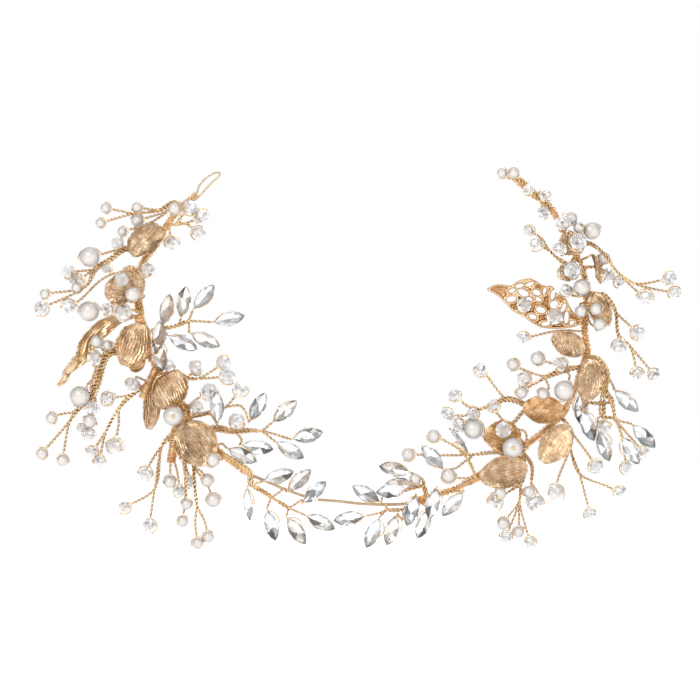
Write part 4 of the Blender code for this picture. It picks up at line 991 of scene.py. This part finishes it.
# A spine followed more closely than the CAD's, and one small leaf that it leaves out.
LEAF_SPINES = {
    "leaf_left_4": (
        (-81.6, 73.5, -3.4), (-89, 72.4, -3.6), (-95, 68.9, -3.2), (-101, 63.8, -3), (-103.4, 58.4, -2),
        (-107, 54.2, -1), (-109.6, 51, 0), (-110.4, 48.4, 1), (-113, 46, 2),
    ),
}
SMALL_LEAF = (((-80.4, 81.5, 3.6), (-85, 93.4, 4.2)), 9.5, 1.5, 0)
PLAIN_LEAF = {
    "rows": 60, "columns": 121, "ridges": 17, "lean": 0, "spacing": 1.0, "slant": 0.0, "ridge_height": 0.55,
    "teeth": 0.07, "tooth_count": 9, "tooth_side": 1, "ragged": 0.022, "wave": 0.75, "belly": 0.62,
    "twist": 0.0, "curl": 0.3, "rib": 0.25, "bead": 0.25, "groove_shade": 0.9, "shade": 1.0, "tone": "leaf",
}
# A shade below 1 is painted shade: it darkens the whole colour of a leaf that faces the key light.
LEAF_LOOKS = {
    "leaf_left_1": {"shade": 0.72, "curl": 0.6, "slant": 2.0, "groove_shade": 1.0, "wave": 1.3, "ridges": 16,
                    "ragged": 0.06},
    "leaf_left_3": {"curl": 0.8, "wave": 0.8, "ragged": 0.05, "bead": 0.3},
    "leaf_left_4": {"rows": 130, "columns": 49, "ridges": 6, "slant": 8.0, "teeth": 0.1, "tooth_count": 13,
                    "wave": 1.5, "twist": 30.0, "tone": "leaf_bright", "groove_shade": 0.7, "ridge_height": 0.6,
                    "ragged": 0.07, "rib": 0.0, "bead": 0.6, "belly": 1.0},
    "leaf_left_5": {"curl": 0.7, "slant": 2.0, "wave": 1.0, "bead": 0.9, "ragged": 0.05, "ridges": 12,
                    "cup": 4.2},
    "leaf_left_6": {"tone": "leaf_warm", "ridges": 7, "columns": 57},
    "leaf_left_7": {"lean": 62, "spacing": 1.15, "curl": 0.5, "wave": 1.0, "bead": 0.9, "ridge_height": 0.55,
                    "groove_shade": 1.0, "cup": 4.2, "rib": 0.0},
    "leaf_left_8": {"wave": 0.7, "bead": 0.6, "ridges": 8, "groove_shade": 1.0, "columns": 65,
                    "ridge_height": 0.5},
    "leaf_left_9": {"ridges": 19, "columns": 129, "curl": 1.4, "wave": 1.5, "teeth": 0.05,
                    "ridge_height": 0.5, "bead": 0.5, "groove_shade": 0.95, "cup": 4.2},
    "leaf_right_5": {"ridges": 18, "curl": 0.2, "lean": -50, "spacing": 0.8},
    "leaf_right_6": {"shade": 0.9, "slant": 3.0, "teeth": 0.09, "tooth_count": 8, "ragged": 0.035},
    "leaf_right_7": {"tone": "leaf_warm", "ridges": 17, "lean": 40, "spacing": 0.8},
    "leaf_right_8": {"ridges": 18, "teeth": 0.08, "tooth_count": 11, "curl": 0.6, "tooth_side": -1,
                     "bead": 0.3},
    "leaf_right_9": {"tone": "leaf_warm", "ridges": 17},
    "leaf_right_10": {"teeth": 0.14, "tooth_count": 7, "slant": 3.0, "belly": 0.72},
}


def make_leaf(name, layout, body, number):
    """A ridged leaf and its stalk; number seeds its unevenness."""
    spine, width, cup, roll = layout
    spine = LEAF_SPINES.get(name, spine)
    look = PLAIN_LEAF | {"seed": number * 1.3} | LEAF_LOOKS.get(name, {})
    grid, uu, vv, tint = leaf_sheet(spine, width, look.get("cup", cup), roll, look)
    shape = Shape()
    length = float(np.linalg.norm(spot(spine[-1]) - spot(spine[0])))
    add_sheet(shape, grid, LEAF_THICKNESS, uu, vv, width, length, tint)
    root = spot(spine[0])
    band = on_band(root)[0]
    inward = spine_path(spine, 12)[2]
    stalk = smooth_path([band, band + (root - band) * 0.6, root + (0, 0.1, 0), inward + (0, 0.2, 0)], 0.4)
    add_tube(shape, stalk, np.linspace(STALK, 0.4, len(stalk)), sides=8)
    piece = shape.make(name + "_shell", [LOOKS[look["tone"]]])
    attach(piece, body)
    if name in LEAVES:
        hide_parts(name)


# ---- The openwork leaf ----

OPENWORK_OUTLINE = (
    (58.5, 84.0), (60.6, 85.7), (63.5, 86.3), (68.4, 85.9), (70.6, 87.4), (75.4, 88.6), (78.4, 87.4),
    (81.1, 85.8), (84.5, 85.5), (86.6, 82.6), (89.9, 80.9), (91.8, 77.4), (93.9, 74.6), (97.0, 72.6),
    (96.4, 70.6), (92.2, 68.9), (86.4, 68.4), (80.7, 68.9), (77.3, 70.4), (73.2, 73.2), (68.6, 75.7),
    (66.0, 78.4), (62.2, 82.0),
)
# Openings: centre x and z, half-length, half-width, and heading in degrees.
OPENWORK_HOLES = (
    (68.3, 80.3, 1.7, 0.95, 10), (73.1, 82.8, 2.0, 1.0, -25), (71.6, 85.6, 1.5, 0.6, 15),
    (78.4, 82.9, 1.5, 0.85, -25), (79.2, 80.2, 1.1, 0.6, -25), (80.1, 76.0, 1.7, 0.95, -20),
    (76.9, 73.3, 1.4, 0.75, -20), (82.1, 70.5, 1.6, 0.65, 5), (84.9, 82.0, 1.7, 0.7, 80),
    (85.4, 78.3, 1.5, 1.05, 20), (90.4, 73.0, 2.1, 0.75, 85), (89.3, 77.0, 1.5, 0.6, 70),
    (68.6, 83.7, 1.2, 0.6, 20), (81.6, 83.6, 1.3, 0.5, 75), (92.6, 70.9, 0.9, 0.6, 30),
    (75.6, 86.2, 1.6, 0.55, 20), (75.5, 80.3, 1.1, 0.6, -20), (72.2, 76.0, 1.2, 0.6, -30),
)
OPENWORK_PITCH = 0.2


def outline_distance(points, outline):
    """Distance inside a closed outline: positive inside, negative outside."""
    corners = np.array(outline)
    best = np.full(len(points), 1e9)
    inside = np.zeros(len(points), bool)
    for a, b in zip(corners, np.roll(corners, -1, axis=0)):
        t = np.clip((points - a) @ (b - a) / ((b - a) @ (b - a)), 0, 1)
        best = np.minimum(best, np.linalg.norm(points - (a + t[:, None] * (b - a)), axis=1))
        rises = (a[1] > points[:, 1]) != (b[1] > points[:, 1])
        crossing = (b[0] - a[0]) * (points[:, 1] - a[1]) / (b[1] - a[1] + 1e-12) + a[0]
        inside ^= rises & (points[:, 0] < crossing)
    return np.where(inside, best, -best)


def openwork_distance(points):
    """Distance from the nearest edge of the openwork, rim or opening, positive on metal."""
    smooth = smooth_outline()
    found = outline_distance(points, smooth)
    for x, z, length, width, heading in OPENWORK_HOLES:
        angle = math.radians(heading)
        away = points - (x, z)
        along = (away[:, 0] * math.cos(angle) + away[:, 1] * math.sin(angle)) / (length * 1.1)
        across = (away[:, 1] * math.cos(angle) - away[:, 0] * math.sin(angle)) / (width * 1.12)
        k = np.sqrt(along ** 2 + across ** 2) + 1e-6
        steep = np.sqrt((along / length) ** 2 + (across / width) ** 2) + 1e-6
        found = np.minimum(found, k * (k - 1) / steep)
    return found


def smooth_outline():
    points = [np.array((x, 0, z)) for x, z in OPENWORK_OUTLINE]
    path = smooth_path(points[-2:] + points + points[:2], 0.5)
    keep = []
    for point in path:
        if not keep or np.linalg.norm(point - keep[-1]) > 0.3:
            keep.append(point)
    start = np.argmin([np.linalg.norm(p - points[0]) for p in keep[:len(keep) // 2]])
    end = len(keep) // 2 + np.argmin([np.linalg.norm(p - points[0]) for p in keep[len(keep) // 2:]])
    return [(p[0], p[2]) for p in keep[start:end]]


def openwork_lift(points):
    """How far the leaf's middle layer stands off the band's plane."""
    spine = np.array([(x, z, lift) for x, z, lift in FILIGREE_SPINE])
    along = unit(spine[-1, :2] - spine[0, :2])
    run = (points - spine[0, :2]) @ along / np.linalg.norm(spine[-1, :2] - spine[0, :2])
    across = (points - spine[0, :2]) @ np.array((-along[1], along[0])) / (FILIGREE_WIDTH / 2)
    rise = np.interp(run, (0, 0.5, 1.0), spine[:, 2])
    return rise + FILIGREE_CUP * across ** 2 * 0.6 + 0.5 * np.sin(run * 9) * across


def openwork_grid():
    """A grid cut to the metal: its points, which are used, which lie on a rim, and its cells' corners."""
    xs, zs = np.arange(57.5, 98.5, OPENWORK_PITCH), np.arange(67.2, 89.8, OPENWORK_PITCH)
    flat = np.stack(np.meshgrid(xs, zs, indexing="ij"), -1)
    size = flat.shape[:2]
    spots = flat.reshape(-1, 2)
    solid = openwork_distance(spots).reshape(size) > 0
    cells = solid[:-1, :-1] & solid[1:, :-1] & solid[1:, 1:] & solid[:-1, 1:]
    around = np.zeros((size[0] + 1, size[1] + 1), int)
    around[1:-1, 1:-1] = cells
    touching = around[:-1, :-1] + around[1:, :-1] + around[1:, 1:] + around[:-1, 1:]
    used, edge = (touching > 0).ravel(), ((touching > 0) & (touching < 4)).ravel()
    for _ in range(2):
        here = openwork_distance(spots[edge])
        steps = ((0.02, 0), (0, 0.02))
        slope = np.stack([openwork_distance(spots[edge] + step) - here for step in steps], 1) / 0.02
        slope /= np.maximum((slope ** 2).sum(1, keepdims=True), 0.3)
        spots[edge] -= slope * np.clip(here, -0.3, 0.3)[:, None]
    index = np.arange(len(spots)).reshape(size)
    corners = np.stack([index[:-1, :-1], index[1:, :-1], index[1:, 1:], index[:-1, 1:]], -1)[cells]
    return spots, used, edge, corners


def openwork_relief(spots, edge):
    """How far the front and the back stand off the middle layer, and the tint with painted shade in the
    hollows.
    """
    depth = np.clip(openwork_distance(spots), 0, None)
    depth[edge] = 0
    cord = np.sin(np.clip(depth / 1.15, 0, 1) * math.pi) * 0.75
    plate = np.sqrt(np.clip(depth / 0.5, 0, 1)) * 0.32
    fine = 0.07 * np.sin(spots[:, 0] * 5.1 + spots[:, 1] * 3.3) * np.clip(depth, 0, 1)
    lines = np.cos(depth * math.tau / 0.8)
    height = plate + cord + fine + 0.1 * lines * np.clip(depth - 0.25, 0, 1)
    # Painted shade: darker in the hollows between cords, at the openings' edges and in the troughs of the fine
    # lines.
    hollow = np.clip((depth - 0.65) / 0.6, 0, 1)
    unshaded = (1 - 0.7 * hollow) * (0.55 + 0.45 * np.clip(depth / 0.3, 0, 1)) * (0.8 + 0.2 * lines)
    return height, plate, unshaded[:, None] + (1 - unshaded[:, None]) * OPENWORK_SHADE_TONE


def make_openwork_shell(body):
    """A cast leaf pierced with openings, each with a raised round rim."""
    spots, used, edge, corners = openwork_grid()
    height, plate, tint = openwork_relief(spots, edge)
    lift = openwork_lift(spots)
    front = np.stack([spots[:, 0], -(lift + height), spots[:, 1]], 1)
    back = np.stack([spots[:, 0], -(lift - plate), spots[:, 1]], 1)
    above = np.full(len(spots), -1)
    above[used] = np.arange(used.sum())
    below = above.copy()
    inner = used & ~edge
    below[inner] = used.sum() + np.arange(inner.sum())
    shape = Shape()
    shape.add(np.concatenate([front[used], back[inner]]),
              above[corners].tolist() + below[corners[:, ::-1]].tolist(),
              grain=np.concatenate([spots[used], spots[inner]]),
              tint=np.concatenate([tint[used], tint[inner]]))
    root = spot(FILIGREE_SPINE[0])
    stalk = smooth_path([on_band(root)[0], root + (0, 0.6, 0), root + (-3, 0.2, 0.8)], 0.3)
    add_tube(shape, stalk, STALK, sides=8)
    leaf = shape.make("filigree_leaf_shell", [LOOKS["leaf_bright"]])
    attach(leaf, body)
    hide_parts("filigree_leaf")


def make_openwork_stones(body):
    """The two crystals wired on the openwork leaf."""
    stones, wires = Shape(), Shape()
    base = unit(np.array((0.45, 1.0, -0.3)))
    axis = unit(np.array((0.8, 0.1, -0.6)))
    for stone in FILIGREE_STONES:
        centre, size = spot(stone["at"]), stone["size"]
        add_crystal(stones, centre, size, axis)
        add_bead_loop(wires, centre, size, axis, base, centre + base * (size / 2 + STEM_GAP))
    for shape, name, look, slot in ((stones, "filigree_leaf_crystals", "crystal", "crystal"),
                                    (wires, "filigree_leaf_wires", "gold", "champagne_gold")):
        piece = shape.make(name, [LOOKS[look]], smooth=look == "gold")
        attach(piece, body)


# ---- Band, binding and pin loop ----


def make_band():
    """The band wire in two halves that meet in the middle."""
    halves = (
        ("left", BAND_LEFT + BAND_CENTRE[:2], "band_wire_left", (-15, 1.7), (-1.5, -0.4)),
        ("right", BAND_CENTRE[1:] + BAND_RIGHT, "band_wire_right", (15, -1.8), (1.5, -0.7)),
    )
    for side, places, node, outer, inner in halves:
        shape = Shape()
        add_tube(shape, smooth_path([spot(p) for p in places], 0.8), BAND_WIRE / 2, sides=14)
        piece = shape.make("band_" + side, [LOOKS["band_wire"]])
        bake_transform(piece)
        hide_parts(node, "band_wire_centre")


def wobble(run, scale, salt):
    """A smooth repeatable wander between -1 and 1 along a run."""
    return (np.sin(run / scale + salt) + 0.6 * np.sin(run / scale * 2.3 + salt * 2.7) +
            0.4 * np.sin(run / scale * 5.1 + salt * 1.9)) / 2


def add_winding(shape, places, radius, pitch, wander, salt, wire=0.4):
    """Fine wire wound round a run of the band, uneven as by hand; salt picks the unevenness."""
    path = smooth_path(places, 0.045)
    run = run_length(path)
    radii = radius * (1 + wander * wobble(run, 3.1, salt))
    pitches = pitch * (1 + 0.45 * wobble(run, 2.3, salt + 1))
    add_tube(shape, helix(path, radii, pitches, salt), wire / 2, sides=5)


def add_core(shape, places, salt):
    """The bundle of stems that the binding holds: four strands laid round the band."""
    path = smooth_path(places, 0.5)
    for k in range(4):
        start = salt + k * math.tau / 4
        add_tube(shape, helix(path, 0.62 + 0.1 * math.sin(k * 2.0 + salt), 16 + 3 * k, start), 0.42, sides=7)


# Runs of thicker winding, each from one (x, z) to another.
KNOTS = {
    "left_wing": (
        ((-64, 39.5), (-60.4, 30.8)), ((-80.8, 80), (-80, 75)), ((-76, 60), (-75, 55.8)),
        ((-81, 74), (-78.6, 66.5)), ((-78.4, 66.2), (-76.2, 58.2)), ((-73.6, 52.6), (-79, 40.5)),
        ((-65.4, 29), (-67.6, 15)),
    ),
    "right_wing": (
        ((30.4, -0.8), (35.2, 0.9)), ((52, 7.6), (57, 10.3)), ((98, 54.5), (98.8, 60.5)),
        ((98.4, 81), (98.3, 87)), ((74.6, 125.3), (71.6, 127.4)), ((88, 33.4), (90.6, 37.4)),
        ((71, 19.2), (75, 22.4)), ((97.8, 70), (97.9, 74)),
    ),
}


def make_binding():
    """The stem bundles along the band's two wings, and the fine wire wound round them."""
    for side, route, node in (("left", BAND_LEFT[BINDING_LEFT], "binding_left"),
                              ("right", BAND_RIGHT[BINDING_RIGHT], "binding_right")):
        places = [spot(p) for p in route]
        core, winding = Shape(), Shape()
        add_core(core, places, 0.4)
        add_winding(winding, places, BINDING_OUTER / 2 - 0.12, pitch=1.05, wander=0.1, salt=0.3)
        add_winding(winding, places[::-1], BINDING_OUTER / 2 - 0.02, pitch=2.4, wander=0.12, salt=2.1,
                    wire=0.36)
        for number, (start, end) in enumerate(KNOTS[side + "_wing"]):
            ends = [spot((*start, 0)), spot((*end, 0))]
            ends.insert(1, (ends[0] + ends[1]) / 2)
            add_winding(winding, ends, 1.62, pitch=0.62, wander=0.14, salt=number * 1.9)
            add_winding(winding, ends[::-1], 1.8, pitch=0.95, wander=0.16, salt=number * 2.3 + 1)
        for shape, name, look in ((core, "stem_bundle_", "gold_deep"), (winding, "winding_", "copper")):
            piece = shape.make(name + side, [LOOKS[look]])
            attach(piece, side + "_wing")
            if look == "copper":
                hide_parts(node)


def make_pin_loop():
    """The flattened loop at the left wing's end, and the winding that holds its two ends to the band."""
    loop, collar = Shape(), Shape()
    foot = spot(BAND_LEFT[1])
    path = smooth_path([foot + (0.4, 0, 0.5), *(spot(p) for p in PIN_LOOP), foot + (-0.4, 0, -0.5)], 0.4)
    add_tube(loop, path, PIN_LOOP_WIRE / 2, sides=10)
    piece = loop.make("pin_loop_wire", [LOOKS["pin_wire"]])
    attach(piece, "left_wing")
    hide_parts("pin_loop_left")
    ends = [spot(p) for p in BAND_LEFT[:3]]
    start = spot(COLLAR_END) + (1.2, 0, 1.2)
    add_winding(collar, [start] + ends, 1.25, pitch=0.62, wander=0.1, salt=0.7)
    add_winding(collar, ends, 1.45, pitch=1.1, wander=0.12, salt=1.9)
    piece = collar.make("collar_winding", [LOOKS["copper"]])
    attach(piece, "left_wing")
    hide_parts("collar_left")


# ---- Materials ----


class Net:
    """Shader nodes and the links between them."""

    def __init__(self, tree):
        self.nodes, self.links = tree.nodes, tree.links

    def node(self, kind, **values):
        made = self.nodes.new("ShaderNode" + kind)
        for socket, value in values.items():
            made.inputs[socket.replace("_", " ")].default_value = value
        return made

    def noise(self, scale, detail=3.0, grain=None):
        """Cloudy noise in the piece's own axes, or stretched along its grain."""
        made = self.node("TexNoise", Scale=scale, Detail=detail)
        source = self.node("TexCoord").outputs["Object"]
        if grain:
            mapping = self.node("Mapping", Scale=grain)
            layer = self.node("UVMap")
            layer.uv_map = "grain"
            self.links.new(layer.outputs["UV"], mapping.inputs["Vector"])
            source = mapping.outputs["Vector"]
        self.links.new(source, made.inputs["Vector"])
        return made.outputs["Fac"]

    def ramp(self, source, *stops):
        made = self.node("ValToRGB")
        elements = made.color_ramp.elements
        while len(elements) < len(stops):
            elements.new(0.5)
        for element, (place, colour) in zip(elements, stops):
            element.position = place
            element.color = (*colour, 1)
        self.links.new(source, made.inputs["Fac"])
        return made.outputs["Color"]

    def facing(self, blend, *stops):
        """A colour that changes from faces seen head-on to faces seen edge-on."""
        return self.ramp(self.node("LayerWeight", Blend=blend).outputs["Facing"], *stops)

    def span(self, source, low, high):
        made = self.node("MapRange", To_Min=low, To_Max=high)
        self.links.new(source, made.inputs["Value"])
        return made.outputs["Result"]

    def multiply(self, first, second):
        mix = self.node("Mix", Factor=1)
        mix.data_type = "RGBA"
        mix.blend_type = "MULTIPLY"
        self.links.new(first, mix.inputs["A"])
        self.links.new(second, mix.inputs["B"])
        return mix.outputs["Result"]


class Look(Net):
    """A material whose Principled shader takes its even values on its own sockets."""

    def __init__(self, name, **values):
        self.material = bpy.data.materials.new(name)
        self.material.use_nodes = True
        super().__init__(self.material.node_tree)
        self.shader = self.nodes["Principled BSDF"]
        for socket, value in values.items():
            self.shader.inputs[socket.replace("_", " ")].default_value = value

    def paint(self, colour):
        """The base colour, multiplied by each point's tint."""
        tint = self.node("VertexColor")
        tint.layer_name = "tint"
        self.links.new(self.multiply(colour, tint.outputs["Color"]), self.shader.inputs["Base Color"])

    def wear(self, scale, low, high):
        self.links.new(self.span(self.noise(scale), low, high), self.shader.inputs["Roughness"])

    def bump(self, source, strength, distance):
        made = self.node("Bump", Strength=strength, Distance=distance * MM)
        self.links.new(source, made.inputs["Height"])
        self.links.new(made.outputs["Normal"], self.shader.inputs["Normal"])


def metal_look(name, stops, scale, rough, bump, grain=(0.6, 9, 1)):
    """Plated metal whose tone and polish vary, with fine drawn or brushed lines."""
    look = Look(name, Metallic=1.0)
    look.paint(look.ramp(look.noise(scale, 4), *stops))
    look.wear(scale * 2.3, *rough)
    look.bump(look.noise(1.0, 4, grain), *bump)
    return look.material


def pearl_look():
    look = Look("pearl", Roughness=0.3, IOR=1.6, Coat_Weight=1.0, Coat_Roughness=0.46, Coat_IOR=2.7)
    # Painted shade: cream where the pearl faces the camera, darker grey towards its rim.
    painted_rim_shade = look.facing(
        0.62, (0.0, (0.66, 0.61, 0.56)), (0.3, (0.60, 0.56, 0.52)), (0.7, (0.39, 0.37, 0.37)),
        (1.0, (0.14, 0.13, 0.14)),
    )
    drift = look.ramp(look.noise(420, 2), (0.3, (1.0, 0.985, 0.965)), (0.7, (0.975, 0.985, 1.0)))
    look.paint(look.multiply(painted_rim_shade, drift))
    look.bump(look.noise(1500, 2), 0.04, 0.02)
    return look.material


def glass_look(name, tone, ior, clear, rim):
    """Clear cut glass with painted shade on facets seen edge-on: rim is how much of its colour such a facet
    keeps.
    """
    look = Look(name, Transmission_Weight=clear, IOR=ior, Roughness=0.02)
    # Painted shade: facets seen edge-on are darkened towards rim.
    edge = look.facing(0.5, (0.0, (1.0, 1.0, 1.0)), (0.45, (1.0, 1.0, 1.0)), (0.8, (rim, rim, rim)))
    drift = look.ramp(look.noise(260, 1), (0.35, tone[0]), (0.65, tone[1]))
    look.paint(look.multiply(drift, edge))
    return look.material


def foil_look():
    look = Look("foil", Metallic=1.0)
    look.paint(look.ramp(look.noise(300, 2), (0.3, (0.93, 0.93, 0.94)), (0.7, (1.0, 1.0, 1.0))))
    look.wear(900, 0.12, 0.3)
    return look.material


GOLD_STOPS = ((0.3, (0.74, 0.49, 0.24)), (0.55, (0.86, 0.62, 0.34)), (0.75, (0.95, 0.77, 0.52)))
DEEP_STOPS = ((0.3, (0.72, 0.38, 0.14)), (0.6, (0.87, 0.56, 0.27)), (0.8, (0.95, 0.69, 0.41)))
COPPER_STOPS = ((0.3, (0.74, 0.37, 0.13)), (0.55, (0.90, 0.58, 0.30)), (0.8, (0.98, 0.77, 0.52)))
BAND_STOPS = ((0.3, (0.48, 0.36, 0.23)), (0.7, (0.66, 0.51, 0.35)))
LEAF_STOPS = ((0.32, (0.52, 0.35, 0.20)), (0.5, (0.69, 0.49, 0.31)), (0.68, (0.88, 0.71, 0.52)))
WARM_STOPS = ((0.32, (0.50, 0.27, 0.11)), (0.5, (0.70, 0.43, 0.21)), (0.7, (0.86, 0.62, 0.38)))
BRIGHT_STOPS = ((0.3, (0.68, 0.45, 0.23)), (0.55, (0.84, 0.62, 0.40)), (0.8, (0.96, 0.82, 0.64)))

LOOKS = {
    "gold": metal_look("gold", GOLD_STOPS, 160, (0.18, 0.36), (0.05, 0.02)),
    "gold_deep": metal_look("gold_deep", DEEP_STOPS, 220, (0.2, 0.42), (0.25, 0.05)),
    "copper": metal_look("copper", COPPER_STOPS, 240, (0.18, 0.4), (0.2, 0.04)),
    "band_wire": metal_look("band_wire", BAND_STOPS, 120, (0.26, 0.36), (0.04, 0.02)),
    "pin_wire": metal_look("pin_wire", BAND_STOPS, 120, (0.42, 0.52), (0.02, 0.02)),
    "leaf": metal_look("leaf", LEAF_STOPS, 380, (0.16, 0.4), (0.65, 0.11), (0.5, 6, 1)),
    "leaf_warm": metal_look("leaf_warm", WARM_STOPS, 380, (0.18, 0.42), (0.65, 0.11), (0.5, 6, 1)),
    "leaf_bright": metal_look("leaf_bright", BRIGHT_STOPS, 200, (0.14, 0.32), (0.35, 0.06), (1.5, 1.5, 1)),
    "pearl": pearl_look(),
    "crystal": glass_look("crystal", ((0.95, 0.935, 0.925), (0.93, 0.93, 0.935)), 1.4, 0.6, 0.6),
    "crown": glass_look("crown", ((1.0, 0.99, 0.985), (0.985, 0.99, 1.0)), 1.3, 1.0, 0.9),
    "foil": foil_look(),
}


# ---- Stage ----


VIEW_CENTRE = (0.004, 0, 0.06)
VIEW_WIDTH = 0.28
LENS, SENSOR = 250, 36


def soft_light(name, energy, size, place):
    """A soft panel turned towards the middle of the view."""
    lamp = bpy.data.lights.new(name, "AREA")
    lamp.energy = energy
    lamp.shape = "RECTANGLE"
    lamp.size, lamp.size_y = size
    holder = bpy.data.objects.new(name, lamp)
    bpy.context.scene.collection.objects.link(holder)
    holder.location = place
    holder.rotation_euler = (Vector(VIEW_CENTRE) - Vector(place)).to_track_quat("-Z", "Y").to_euler()


def make_world():
    """A white surround seen by the camera, and a studio for the reflections: bright behind, dim in front."""
    world = bpy.data.worlds.new("studio")
    bpy.context.scene.world = world
    world.use_nodes = True
    world.node_tree.nodes.clear()
    net = Net(world.node_tree)
    around = net.node("TexCoord").outputs["Generated"]
    parts = net.node("SeparateXYZ")
    net.links.new(around, parts.inputs["Vector"])
    depth = net.node("MapRange", From_Min=-1)
    net.links.new(parts.outputs["Y"], depth.inputs["Value"])
    wall = net.ramp(
        depth.outputs["Result"], (0.0, (0.07, 0.07, 0.075)), (0.02, (0.14, 0.14, 0.14)),
        (0.06, (0.36, 0.35, 0.34)), (0.3, (0.55, 0.54, 0.53)), (0.5, (0.70, 0.70, 0.70)),
        (0.75, (0.98, 0.98, 0.98)),
    )
    patches = net.node("TexNoise", Scale=2.6, Detail=1)
    net.links.new(around, patches.inputs["Vector"])
    shade = net.ramp(patches.outputs["Fac"], (0.42, (0.6, 0.6, 0.6)), (0.58, (1.15, 1.15, 1.15)))
    reflected = net.node("Background")
    net.links.new(net.multiply(wall, shade), reflected.inputs["Color"])
    seen = net.node("Background", Color=(1, 1, 1, 1), Strength=1.0)
    choose = net.node("MixShader")
    net.links.new(net.node("LightPath").outputs["Is Camera Ray"], choose.inputs["Fac"])
    net.links.new(reflected.outputs["Background"], choose.inputs[1])
    net.links.new(seen.outputs["Background"], choose.inputs[2])
    net.links.new(choose.outputs["Shader"], net.node("OutputWorld").inputs["Surface"])


def floor_look():
    look = Look("floor", Roughness=0.9, Emission_Strength=0.42, Emission_Color=(1, 1, 1, 1))
    tone = look.ramp(look.noise(3, 2), (0.3, (0.90, 0.90, 0.90)), (0.7, (0.92, 0.92, 0.92)))
    look.links.new(tone, look.shader.inputs["Base Color"])
    return look.material


def make_floor():
    """A disc just under the object."""
    bm = bmesh.new()
    bmesh.ops.create_circle(bm, cap_ends=True, segments=96, radius=1.6)
    mesh = bpy.data.meshes.new("floor")
    bm.to_mesh(mesh)
    bm.free()
    mesh.materials.append(floor_look())
    floor = bpy.data.objects.new("floor", mesh)
    floor.location = (0, 0, cad_box[0].z - MM)
    bpy.context.scene.collection.objects.link(floor)


def make_lights():
    soft_light("key", 6.0, (0.36, 0.36), (-0.46, -0.95, 0.66))
    soft_light("second", 1.0, (0.2, 0.2), (0.36, -1.0, 0.3))
    soft_light("fill", 1.1, (0.45, 0.45), (0.75, -0.7, 0.35))
    soft_light("top", 1.5, (0.8, 0.35), (0.1, 0.1, 0.95))
    soft_light("back", 1.0, (0.7, 0.5), (0.2, 0.95, 0.4))


def make_camera():
    lens = bpy.data.cameras.new("camera")
    lens.lens = LENS
    lens.sensor_width = SENSOR
    camera = bpy.data.objects.new("camera", lens)
    bpy.context.scene.collection.objects.link(camera)
    camera.location = (VIEW_CENTRE[0], -VIEW_WIDTH * LENS / SENSOR, VIEW_CENTRE[2])
    camera.rotation_euler = (math.pi / 2, 0, 0)
    bpy.context.scene.camera = camera
    bpy.context.scene.view_settings.view_transform = "Standard"


def body_of_node():
    found = {}
    for body, nodes in frame["record"]["behaviour"]["bodies"].items():
        found.update({node: body for node in nodes})
    return found


def main():
    bodies = body_of_node()
    make_world()
    make_floor()
    make_lights()
    make_camera()
    make_band()
    make_binding()
    make_pin_loop()
    for number, (name, layout) in enumerate(LEAVES.items()):
        make_leaf(name, layout, bodies[name], number)
    make_leaf("leaf_left_2", SMALL_LEAF, "left_wing", 2)
    make_openwork_shell(bodies["filigree_leaf"])
    make_openwork_stones(bodies["filigree_leaf"])
    for name, wires in SPRAYS.items():
        make_spray(name, wires, bodies[name])


main()
